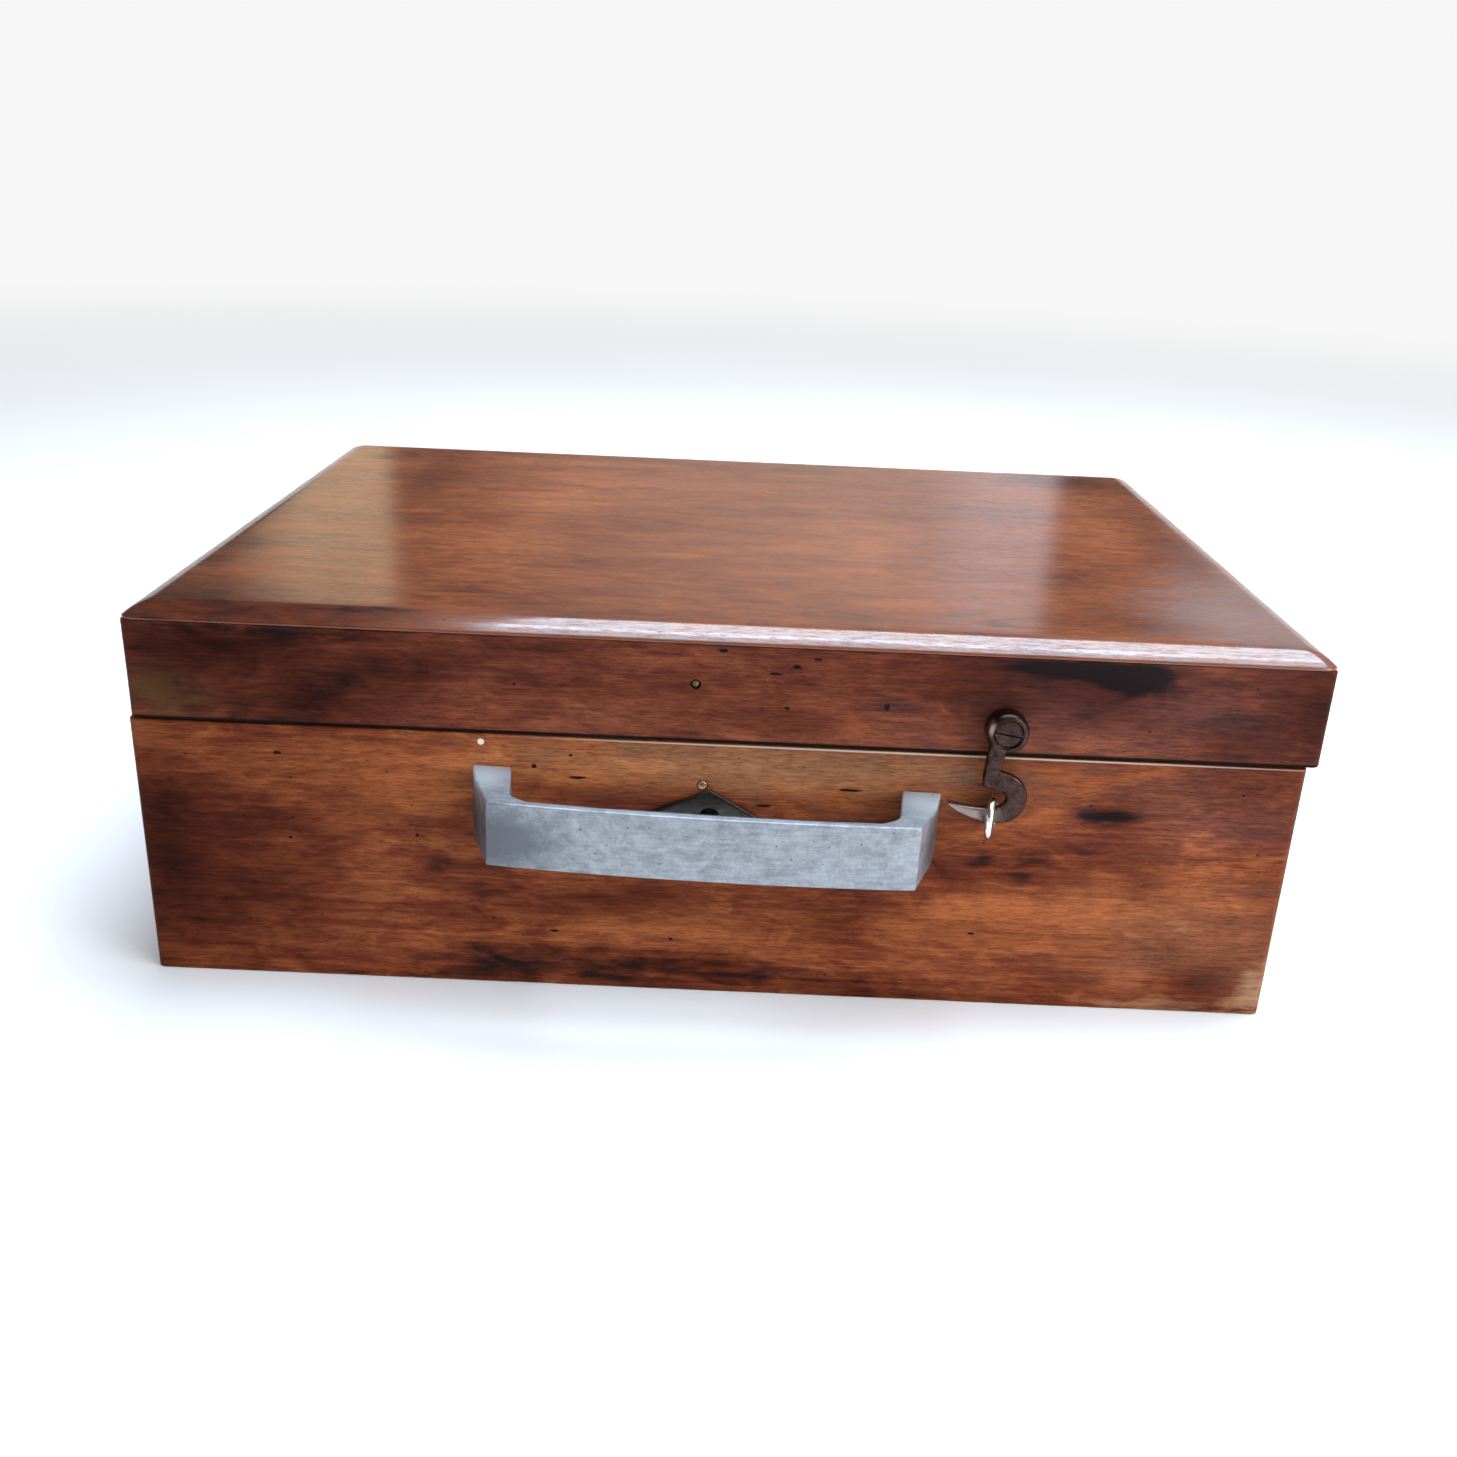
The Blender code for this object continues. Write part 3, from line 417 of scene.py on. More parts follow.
def paint(obj, plane, dark=(), amber=(), worn=(), olive=(), tone=(), edge=None, edge_wear=0.0, strays=0):
    """Writes four marks at each vertex to the colour attribute 'marks', from ovals in a plane of the board,
    and to 'tone' how much lighter or darker than usual its colour is painted there, for the stain's own
    patches and for painted shade: 1 and the ovals' sum.

    edge gives the corners of the box that the boards make. The pale wear also rises towards its arrises: a
    vertex's second smallest distance d to the box's faces adds w exp(-d/0.9), w wandering along the board.
    A strays number scatters more ovals of each mark over the board."""
    count = len(obj.data.vertices)
    place = np.empty(count * 3, np.float32)
    obj.data.vertices.foreach_get("co", place)
    place = place.reshape(-1, 3) / MM
    u = place[:, "XYZ".index(plane[0])]
    v = place[:, "XYZ".index(plane[1])]
    rng = np.random.default_rng(strays)

    def some(number, wide, tall, strength):
        return [
            (rng.uniform(u.min(), u.max()), rng.uniform(v.min(), v.max()), wide * rng.uniform(0.5, 1.5),
             tall * rng.uniform(0.5, 1.5), strength * rng.uniform(0.4, 1.0))
            for _ in range(number)
        ]

    marks = np.zeros((count, 4), np.float32)
    for column, (spots, kind) in enumerate(zip((dark, amber, worn, olive), STRAYS)):
        marks[:, column] = spread(u, v, list(spots) + (some(*kind) if strays else []))
    if edge is not None:
        low, high = edge
        gaps = np.sort(np.abs(np.concatenate([place - low, high - place], 1)), 1)
        wander = 0.6 + 0.5 * soft_noise(place[:, 0] + 300, place[:, 1] + 300, 19.0, 5 + strays)
        marks[:, 2] += edge_wear * wander * np.exp(-gaps[:, 1] / WEAR_REACH)
    layer = obj.data.attributes.new("marks", "FLOAT_COLOR", "POINT")
    layer.data.foreach_set("color", np.clip(marks, 0, 1.5).ravel())
    layer = obj.data.attributes.new("tone", "FLOAT", "POINT")
    layer.data.foreach_set("value", np.clip(1 + spread(u, v, list(tone)), 0.1, 2.0).astype(np.float32))


# Materials


class Nodes:
    """Adds nodes to a shader's tree. Most methods give back the socket to read."""

    def __init__(self, tree):
        self.tree = tree

    def feed(self, socket, given):
        if isinstance(given, bpy.types.NodeSocket):
            self.tree.links.new(given, socket)
        else:
            socket.default_value = given

    def add(self, kind, sockets, **settings):
        """A node of a kind with its settings. Values or other nodes' sockets are fed to its own sockets,
        which go by name or number."""
        node = self.tree.nodes.new("ShaderNode" + kind)
        for name, value in settings.items():
            setattr(node, name, value)
        for socket, given in sockets.items():
            self.feed(node.inputs[socket], given)
        return node

    def sum(self, operation, *given):
        return self.add("Math", dict(enumerate(given)), operation=operation).outputs[0]

    def times(self, first, second):
        return self.sum("MULTIPLY", first, second)

    def total(self, start, *parts):
        """The start with each part times its share added."""
        for part, share in parts:
            start = self.sum("MULTIPLY_ADD", part, share, start)
        return start

    def rise(self, given, start, end, low=0.0, high=1.0):
        """Climbs smoothly from low to high as the input goes from start to end."""
        sockets = dict(enumerate((given, start, end, low, high)))
        return self.add("MapRange", sockets, interpolation_type="SMOOTHSTEP").outputs[0]

    def mix(self, share, first, second, blend="MIX"):
        first, second = ((*given, 1.0) if isinstance(given, tuple) else given for given in (first, second))
        return self.add("Mix", {0: share, 6: first, 7: second}, data_type="RGBA", blend_type=blend).outputs[2]

    def ramp(self, given, *stops):
        """Colours at places between 0 and 1."""
        node = self.add("ValToRGB", {0: given})
        band = node.color_ramp.elements
        while len(band) < len(stops):
            band.new(0.5)
        for element, (place, colour) in zip(band, stops):
            element.position = place
            element.color = (*colour, 1.0)
        return node.outputs[0]


class Finish(Nodes):
    """One procedural material, on the coordinates of the piece itself."""

    def __init__(self, name, shift=(0, 0, 0), **settings):
        self.look = bpy.data.materials.new(name)
        self.look.use_nodes = True
        super().__init__(self.look.node_tree)
        self.shader = self.tree.nodes["Principled BSDF"]
        for socket, number in settings.items():
            self.drive(socket.replace("_", " "), number)
        self.place = self.add("TexCoord", {}).outputs["Object"]
        self.shift = shift

    def drive(self, socket, given):
        self.feed(self.shader.inputs[socket], given)

    def sized(self, *sizes):
        """Object coordinates counted in features of the given sizes in mm along X, Y and Z."""
        scale = [1 / (size * MM) for size in sizes]
        return self.add("Mapping", {"Vector": self.place, "Scale": scale, "Location": self.shift}).outputs[0]

    def noise(self, sizes, detail, rough=0.5, bent=0.0):
        sockets = {"Vector": self.sized(*sizes), "Scale": 1.0}
        sockets |= {"Detail": detail, "Roughness": rough, "Distortion": bent}
        return self.add("TexNoise", sockets).outputs["Fac"]

    def grain(self, along, long, across, *kind):
        """Noise drawn out along the grain, its features long one way and narrow the other two."""
        return self.noise((long, across, across) if along == "X" else (across, long, across), *kind)

    def parts(self, colour):
        return self.add("SeparateColor", {0: colour}).outputs

    def cells(self, size):
        """Distance to the nearest of one scattered point a cell, and that point's random number."""
        node = self.add("TexVoronoi", {"Vector": self.sized(size, size, size), "Scale": 1.0})
        return node.outputs["Distance"], self.parts(node.outputs["Color"])[0]

    def painted(self, name):
        return self.add("Attribute", {}, attribute_name=name).outputs

    def bump(self, height, depth, strength):
        """Depth in mm."""
        return self.add("Bump", {"Strength": strength, "Distance": depth * MM, "Height": height}).outputs[0]

    def near(self, centre, sizes):
        """Distance from a place in mm, counted in the given half sizes."""
        shift = [part * MM for part in centre]
        scale = [1 / (size * MM) for size in sizes]
        off = self.add("VectorMath", {0: self.place, 1: shift}, operation="SUBTRACT").outputs[0]
        counted = self.add("VectorMath", {0: off, 1: scale}, operation="MULTIPLY").outputs[0]
        return self.add("VectorMath", {0: counted}, operation="LENGTH").outputs["Value"]


WOOD_IOR = 1.45
BLACK_STAIN_AND_SHADOW = (0.012, 0.0085, 0.010)
OLIVE_BLOOM = (0.115, 0.060, 0.023)
RUBBED_WOOD = (0.40, 0.235, 0.135)
DARK_PORE = (0.02, 0.009, 0.006)
DARK_SPECK = (0.012, 0.008, 0.007)
WORM_HOLE = (0.010, 0.006, 0.005)
TONE_POWERS = (1.0, 1.25, 1.3)


def stained_wood(name, along, tones, holes=(), casts=(), dots=(), shift=0.0, coat=0.05, gloss=0.2,
                 specular=0.03, coat_ior=1.5):
    """Stained, shellacked wood. Broad and cloudy tones, streaks and fibres run along the grain, fine dark
    pores lie in it, and the marks painted on the boards are broken up by the same clouds. Casts are ovals
    that tint it softly, some of them a painted reflection, and dots are ovals of paint on it and lines of
    painted shade. The painted tone darkens green and blue more than red."""
    wood = Finish(name, (shift, shift * 1.7, shift * 0.6), Coat_Roughness=gloss, Coat_IOR=coat_ior,
                  IOR=WOOD_IOR, Specular_IOR_Level=specular)
    broad = wood.grain(along, 80, 20, 3, 0.5, 0.3)
    cloud = wood.grain(along, 19, 7.5, 6, 0.62, 0.7)
    streak = wood.grain(along, 40, 1.5, 3, 0.55, 0.25)
    fibre = wood.grain(along, 5, 0.55, 4, 0.7, 0.3)
    pore = wood.grain(along, 3.0, 0.3, 1)
    broad_off, cloud_off, streak_off, pore_off = (
        wood.sum("SUBTRACT", part, 0.5) for part in (broad, cloud, streak, pore)
    )
    marks = wood.painted("marks")
    dark, amber, worn = wood.parts(marks["Color"])
    olive = marks["Alpha"]

    clouds = (broad_off, 0.7), (cloud_off, 1.35), (streak_off, 0.6)
    tone = wood.total(0.45, *clouds, (amber, 0.5), (dark, -0.32))
    colour = wood.ramp(tone, *zip((0.05, 0.42, 0.9), tones))
    threads = wood.ramp(fibre, (0.34, (0.64, 0.60, 0.58)), (0.61, (1.16, 1.14, 1.11)))
    for oval, share, cast in casts:
        reach = wood.total(wood.near(*oval), (cloud_off, 2.4))
        colour = wood.mix(wood.rise(reach, 1.25, 0.2, 0.0, share), colour, cast)
    colour = wood.mix(1.0, colour, threads, "MULTIPLY")

    breakup = wood.total(0.0, (cloud_off, 2.2), (streak_off, 0.8))
    # Dark marks turn black: stains, and on the case front the left pull foot's painted shadow
    stain_and_shadow = wood.rise(wood.total(dark, (breakup, -0.8)), 0.25, 1.05, 0.0, 0.93)
    colour = wood.mix(stain_and_shadow, colour, BLACK_STAIN_AND_SHADOW)
    bloom = wood.rise(wood.total(olive, (breakup, 0.7)), 0.2, 0.9, 0.0, 0.75)
    colour = wood.mix(bloom, colour, OLIVE_BLOOM)
    rubbed = wood.rise(wood.total(worn, (breakup, 0.8)), 0.3, 1.0, 0.0, 0.85)
    colour = wood.mix(rubbed, colour, RUBBED_WOOD)

    pores = wood.rise(pore, 0.66, 0.74)
    colour = wood.mix(wood.times(pores, 0.55), colour, DARK_PORE)
    apart, lot = wood.cells(7.5)
    speck = wood.sum("LESS_THAN", apart, wood.rise(lot, 0.45, 1.0, 0.0, 0.062))
    colour = wood.mix(wood.times(speck, 0.8), colour, DARK_SPECK)
    hole = 0.0
    for oval in holes:
        reach = wood.total(wood.near(*oval), (pore_off, 0.9))
        hole = wood.sum("MAXIMUM", hole, wood.rise(reach, 1.1, 0.7))
    colour = wood.mix(hole, colour, WORM_HOLE)
    for oval, dot_colour in dots:
        colour = wood.mix(wood.rise(wood.near(*oval), 1.15, 0.8), colour, dot_colour)
    lit = wood.painted("tone")["Fac"]
    powers = dict(enumerate(wood.sum("POWER", lit, power) for power in TONE_POWERS))
    scale = wood.add("CombineColor", powers)
    wood.drive("Base Color", wood.mix(1.0, colour, scale.outputs[0], "MULTIPLY"))

    wood.drive("Roughness", wood.total(0.3, (cloud, 0.25), (rubbed, 0.2)))
    polish = wood.rise(wood.total(rubbed, (cloud, 0.6)), 0.2, 1.3, coat, coat * 0.4)
    polish = wood.times(polish, wood.rise(fibre, 0.66, 0.42, 0.40, 1.0))
    wood.drive("Coat Weight", wood.times(polish, wood.rise(streak, 0.66, 0.42, 0.78, 1.0)))
    height = wood.total(fibre, (pores, -0.8), (streak, 0.8), (speck, -1.0), (hole, -3.0))
    wood.drive("Normal", wood.bump(height, 0.05, 0.8))
    wood.drive("Coat Normal", wood.bump(height, 0.01, 0.6))
    return wood.look


GRIME = (0.11, 0.065, 0.035)
PLY_LINE = (0.2, 0.11, 0.055)


def bare_wood(name, along, deep, light, layers=0.0):
    """Plain planed wood: broad tone, streaks and fibres along the grain; with layers, the plies show on the
    edges as bands of that thickness."""
    wood = Finish(name, IOR=WOOD_IOR)
    broad = wood.grain(along, 120, 26, 3, 0.5, 0.5)
    streak = wood.grain(along, 60, 1.4, 4, 0.6, 0.3)
    fibre = wood.grain(along, 9, 0.35, 2, 0.6)
    grime = wood.noise((34, 34, 20), 5, 0.65)
    colour = wood.ramp(wood.total(0.0, (broad, 0.5), (streak, 0.6)), (0.3, deep), (0.75, light))
    threads = wood.ramp(fibre, (0.3, (0.8, 0.78, 0.75)), (0.65, (1.05, 1.05, 1.05)))
    colour = wood.mix(1.0, colour, threads, "MULTIPLY")
    colour = wood.mix(wood.rise(grime, 0.5, 0.75, 0.0, 0.55), colour, GRIME)
    if layers:
        up = wood.add("SeparateXYZ", {0: wood.place}).outputs[2]
        band = wood.sum("FRACT", wood.sum("DIVIDE", up, layers * MM * 2))
        colour = wood.mix(wood.times(wood.sum("LESS_THAN", band, 0.5), 0.35), colour, PLY_LINE)
    wood.drive("Base Color", colour)
    wood.drive("Roughness", wood.rise(streak, 0.2, 0.8, 0.5, 0.72))
    wood.drive("Normal", wood.bump(wood.sum("ADD", fibre, streak), 0.05, 0.9))
    return wood.look


def metal(name, bright, dull, smooth, rough, size, brushed=None, pits=0.0, depth=0.02, seed=0.0, bare=1.0,
          worn=()):
    """Metal with a mottled skin. Clouds of a size carry the colour from bright to dull and the roughness
    from smooth to rough. brushed gives the sizes of fine drawn lines, pits the share of small dark ones,
    depth the relief, bare how metallic it is, and worn a list of oval places, each with the colour put
    there: rubbed wear, painted shade and painted highlights."""
    skin = Finish(name, (seed, seed * 2.3, seed * 0.7), Metallic=bare)
    cloud = skin.noise(np.broadcast_to(size, 3), 6, 0.65, 0.4)
    fine = skin.noise((0.8, 0.8, 0.8), 3, 0.6)
    mottle = skin.total(0.0, (cloud, 0.8), (fine, 0.3))
    colour = skin.ramp(mottle, (0.38, dull), (0.66, bright))
    height = skin.total(0.0, (cloud, 0.5), (fine, 0.6))
    if brushed:
        lines = skin.noise(brushed, 3, 0.6)
        colour = skin.mix(0.35, colour, skin.ramp(lines, (0.3, dull), (0.7, bright)))
        height = skin.total(height, (lines, 0.8))
    for oval, left in worn:
        reach = skin.total(skin.near(*oval), (mottle, 0.5))
        colour = skin.mix(skin.rise(reach, 1.85, 0.65), colour, left)
    if pits:
        apart, lot = skin.cells(1.5)
        pit = skin.rise(apart, skin.rise(lot, 1.0 - pits, 1.0, 0.0, 0.35), 0.0)
        colour = skin.mix(pit, colour, tuple(part * 0.25 for part in dull))
        height = skin.total(height, (pit, -1.0))
    skin.drive("Base Color", colour)
    skin.drive("Roughness", skin.rise(mottle, 0.3, 0.75, rough, smooth))
    skin.drive("Normal", skin.bump(height, depth, 0.7))
    return skin.look


def front_holes(*holes):
    """Ovals in the front from their X, Z and half sizes along X and Z."""
    return [((x, FRONT, z), (wide, 3, tall)) for x, z, wide, tall in holes]


WORM_HOLES = front_holes(
    (-131.1, 75.9, 1.6, 0.55), (-129.2, 48.0, 0.8, 0.5), (-90.3, 50.5, 0.7, 0.6), (-54.5, 75.2, 0.9, 0.7),
    (-43.5, 79.2, 0.5, 0.45), (-48.8, 19.4, 1.5, 0.45), (-12.3, 18.2, 0.7, 0.5), (81.0, 24.8, 1.2, 0.5),
    (-41.6, 72.0, 3.2, 0.55), (40.3, 71.7, 4.0, 0.5), (14.6, 65.4, 2.4, 0.5),
)
LID_HOLES = front_holes(
    (22.1, 109.9, 1.3, 0.8), (49.0, 98.8, 1.0, 1.1), (19.9, 97.0, 0.8, 0.5), (0.7, 114.0, 1.5, 0.6),
    (16.0, 107.5, 2.0, 0.5), (28.0, 112.5, 1.4, 0.4), (-60.0, 101.0, 0.5, 0.5),
)
CASE_CASTS = [
    (((20, FRONT, 78), (88, 30, 12)), 0.5, (0.27, 0.150, 0.085)),
    (((150, FRONT, 72), (48, 30, 18)), 0.4, (0.095, 0.046, 0.045)),
    (((150, FRONT, 26), (46, 30, 22)), 0.4, (0.25, 0.105, 0.055)),
]
# Painted reflection: a purplish veil over the right end of the lid front
LID_PAINTED_REFLECTION = [(((128, FRONT, 101), (75, 30, 24)), 0.38, (0.10, 0.045, 0.045))]
# Painted reflection: a grey haze over the front right of the lid top
TOP_PAINTED_REFLECTION = [(((160, -92, LID_TOP), (38, 48, 12)), 0.5, (0.21, 0.145, 0.135))]
# A dab of white paint and the pale upper arris of the case, and painted shade: a dark line along the gap
# under the lid
CASE_DOTS = [
    (((-70.2, FRONT, 82.3), (1.0, 3, 1.0)), (0.62, 0.56, 0.48)),
    (((70, FRONT, CASE_TOP - 0.35), (118, 3, 0.27)), (0.44, 0.34, 0.27)),
]
# Painted shade: a near-black line along the lid's lower edge, over the gap to the case
LID_GAP_SHADE = [(((0, FRONT, LID_BOTTOM + 0.1), (900, 4, 0.85)), (0.008, 0.006, 0.005))]

CASE_TONES = ((0.060, 0.0125, 0.0055), (0.17, 0.042, 0.0185), (0.37, 0.118, 0.042))
LID_TONES = ((0.040, 0.0095, 0.0060), (0.115, 0.030, 0.0175), (0.24, 0.072, 0.035))
TOP_TONES = ((0.072, 0.0165, 0.0058), (0.150, 0.038, 0.0138), (0.245, 0.071, 0.025))
INNER_TONES = ((0.115, 0.042, 0.018), (0.25, 0.105, 0.046))
DIVIDER_TONES = ((0.24, 0.12, 0.05), (0.46, 0.27, 0.13))
PANEL_TONES = ((0.30, 0.17, 0.08), (0.52, 0.33, 0.17))
PLY = 1.2

case_wood = stained_wood("worn_stain_and_painted_light_case", "X", CASE_TONES, WORM_HOLES, CASE_CASTS, CASE_DOTS)
lid_wood = stained_wood("worn_stain_and_painted_light_lid", "X", LID_TONES, LID_HOLES, LID_PAINTED_REFLECTION, LID_GAP_SHADE, 3.1)
top_wood = stained_wood("worn_stain_top", "X", TOP_TONES, casts=TOP_PAINTED_REFLECTION, shift=7.7, coat=1.0, gloss=0.1,
                        specular=0.02, coat_ior=1.85)
side_wood = stained_wood("worn_stain_sides", "Y", CASE_TONES, shift=5.3)
inner_long_wood = bare_wood("planed_inner_wood_long", "X", *INNER_TONES)
inner_side_wood = bare_wood("planed_inner_wood_side", "Y", *INNER_TONES)
inside_wood = bare_wood("bare_divider_wood", "X", *DIVIDER_TONES)
cross_wood = bare_wood("bare_cross_wood", "Y", *DIVIDER_TONES)
panel_wood = bare_wood("bare_panel_wood", "X", *PANEL_TONES, PLY)

# Painted shade and highlights on the pull: the darker left of the bar, the shaded outer sides of both feet
# and the pale lit tops of the feet
PULL_SHADE_AND_HIGHLIGHT = [
    (((-64.0, FRONT - 28, 63.0), (20, 14, 10)), (0.105, 0.116, 0.138)),
    (((-72.8, FRONT - 15, 61.0), (6, 20, 13)), (0.045, 0.050, 0.060)),
    (((67.2, FRONT - 15, 60.0), (6, 20, 13)), (0.070, 0.075, 0.085)),
    (((-70.0, FRONT - 4, 75.5), (9, 12, 2.6)), (0.50, 0.59, 0.64)),
    (((64.0, FRONT - 4, 73.0), (9, 12, 2.6)), (0.48, 0.54, 0.58)),
]
# The hook's pale arm is rubbed wear; the pale spot on the upper left rim of its boss is a painted highlight
HOOK_WEAR_AND_HIGHLIGHT = [
    (((72.0, FRONT - 7, 69.5), (10, 8, 5)), (0.24, 0.19, 0.165)),
    (((78.6, FRONT - 7, 97.5), (1.1, 3, 3.0)), (0.36, 0.30, 0.27)),
]
# Painted shade: the lock brass round the key pin darkened, deep behind the keyhole
KEYHOLE_SHADE = [((tuple(node_middle("lock_key_pin")), (7, 16, 9)), (0.012, 0.009, 0.006))]

aluminium = metal("cast_aluminium", (0.36, 0.39, 0.43), (0.14, 0.157, 0.18), 0.34, 0.5, (5, 5, 4),
                  (9, 0.5, 0.7), 0.12, 0.03, bare=0.3, worn=PULL_SHADE_AND_HIGHLIGHT)
iron = metal("dark_hook_iron", (0.066, 0.038, 0.032), (0.019, 0.011, 0.0095), 0.22, 0.42, 3,
             pits=0.3, depth=0.06, worn=HOOK_WEAR_AND_HIGHLIGHT)
nickel = metal("bright_nickel_wire", (0.95, 0.93, 0.89), (0.60, 0.56, 0.50), 0.1, 0.26, 1.6, pits=0.4)
plate_steel = metal("dark_plate_steel", (0.085, 0.078, 0.07), (0.03, 0.026, 0.023), 0.28, 0.5, 4,
                    (8, 8, 0.5), 0.2, 0.03, 2.0)
screw_steel = metal("dull_screw_steel", (0.42, 0.41, 0.39), (0.2, 0.19, 0.18), 0.28, 0.5, 2, pits=0.2,
                    seed=4.0)
lock_steel = metal("dull_lock_steel", (0.45, 0.44, 0.42), (0.22, 0.2, 0.18), 0.3, 0.5, 7,
                   (12, 0.4, 0.4), 0.1, seed=6.0)
# The key pin is painted near black for the shade deep in the keyhole
key_pin_shade_steel = metal("key_pin_steel_painted_dark", (0.03, 0.028, 0.026), (0.008, 0.007, 0.007), 0.5, 0.7, 2, pits=0.2,
                  seed=5.0)
lid_pin_brass = metal("darkened_pin_brass", (0.22, 0.15, 0.08), (0.03, 0.02, 0.012), 0.4, 0.6, 1.2, pits=0.3,
                      depth=0.03, seed=7.0)
pin_brass = metal("dull_pin_brass", (0.66, 0.44, 0.28), (0.28, 0.16, 0.09), 0.25, 0.5, 1.5, pits=0.2,
                  seed=8.0)
hinge_brass = metal("aged_hinge_brass", (0.62, 0.44, 0.19), (0.22, 0.14, 0.06), 0.28, 0.55, 6,
                    (10, 0.5, 0.5), 0.2, seed=9.0)
lock_brass = metal("satin_lock_brass", (0.66, 0.48, 0.2), (0.36, 0.24, 0.1), 0.25, 0.45, 8, (0.4, 9, 9), 0.1,
                   seed=11.0, worn=KEYHOLE_SHADE)


# Making the boards


def keep(obj, body, slot, *nodes):
    """Lets a finished piece ride on its body and stand for the nodes it replaces, which it hides. The slot is
    not used.
    """
    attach(obj, body)
    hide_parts(*nodes)


KEY = node_middle("lock_key_pin")
KEY_RADIUS = 3.4
SLOT_HALF = 1.7
SLOT_LOW = 51.7
LEAF_THICK = 1.2
LEAF_DEPTH = 8.7
LEAF_HALF = 19.0
LEAF_SCREW_AT = 12.0
LEAF_SCREW_Y = BACK - 4.5
PULL_SHANK = 2.4
SCREW_HOLE = 1.4


def front_hole(node, radius, length, start=-1, sides=24):
    """A round cutter along Y at a node's X and Z, its start counted from the front."""
    x, _, z = node_middle(node)
    return drill(radius, (x, FRONT + start, z), length, sides=sides)


def keyhole_cutter(start, end, radius, slot_half, slot_low):
    """A round hole with a straight slot below it: an arc that leaves a gap as wide as the slot at its foot,
    joined to the slot's two lower corners."""
    edge = math.degrees(math.asin(slot_half / radius))
    round_part = arc_points((KEY[0], KEY[2]), radius, -90 + edge, 270 - edge, 28)
    outline = np.vstack([round_part, [(KEY[0] - slot_half, slot_low), (KEY[0] + slot_half, slot_low)]])
    return [laid(eased_prism(outline, start, end, 0.0, 1), "XZY")]


def case_front_cuts():
    """Pockets for the lock and its cap, the keyhole, and holes for the screws and pins."""
    lock_low, lock_high = node_box("lock_case", CLEARANCE)
    cap_low, cap_high = node_box("lock_cap", CLEARANCE)
    open_to = (0, WALL, 2 * WALL)
    yield box_shell(lock_low, lock_high + open_to)
    yield box_shell(cap_low, cap_high + open_to)
    yield keyhole_cutter(FRONT - 1, lock_low[1] + 0.5, KEY_RADIUS, SLOT_HALF, SLOT_LOW)
    for side in ("left", "right"):
        yield front_hole(f"pull_washer_{side}", PULL_SHANK, WALL + 2)
        yield front_hole(f"keyhole_plate_pin_{side}", 1.0, 4.4, sides=16)
        yield front_hole(f"lock_screw_{side}", SCREW_HOLE, 8.0, 4.2, 16)
    yield front_hole("case_front_pin", 1.7, 4.6)


def lid_front_cuts():
    """Pockets for the strike and the raised bolt, and holes for the screws and the pin."""
    strike_low, strike_high = node_box("strike_plate", CLEARANCE)
    bolt_low, bolt_high = node_box("lock_bolt", 0.8)
    yield box_shell(strike_low - (0, 0, WALL), strike_high + (0, WALL, 0))
    yield box_shell((*bolt_low[:2], LID_BOTTOM - 1), (*bolt_high[:2], LID_BOTTOM + 7.4))
    for side in ("left", "right"):
        spot = node_middle(f"strike_screw_{side}")
        yield drill(SCREW_HOLE, (spot[0], spot[1], LID_BOTTOM), 10.0, (0, 0, 1), 16)
    yield front_hole("hook_screw", 1.9, 9.0)
    yield front_hole("lid_front_pin", 1.6, 7.4)


def hinge_cuts(face, inward):
    """Seats for both leaves and their screws in a back board's edge; inward is -1 down or 1 up."""
    deep = face + inward * (LEAF_THICK + CLEARANCE)
    half = LEAF_HALF + CLEARANCE
    for side in ("left", "right"):
        x = node_middle(f"hinge_{side}_pin")[0]
        near, far = sorted((face - inward * 2, deep))
        yield box_shell((x - half, BACK - LEAF_DEPTH - CLEARANCE, near), (x + half, BACK + 2, far))
        for along in (-LEAF_SCREW_AT, LEAF_SCREW_AT):
            yield drill(SCREW_HOLE, (x + along, LEAF_SCREW_Y, face), 10.0, (0, 0, inward), 16)


def case_board(side, look, seed):
    return placed_board(f"case_{side}_board", side, CASE_HALF, 0.0, CASE_LOW[2], CASE_TOP, look, seed)


def lid_board(side, look, seed):
    return placed_board(f"lid_{side}_board", side, LID_HALF, LID_MID, LID_BOTTOM, FRAME_TOP, look, seed)


CASE_EDGE = (np.array([-CASE_HALF, FRONT, CASE_LOW[2]]), np.array([CASE_HALF, BACK, CASE_TOP]))
LID_EDGE = (np.array([LID_LOW[0], FRONT, LID_BOTTOM]), np.array([LID_HIGH[0], BACK, FRAME_TOP]))
TOP_EDGE = (np.array([TOP_LOW[0], FRONT, FRAME_TOP]), np.array([TOP_HIGH[0], BACK, LID_TOP]))

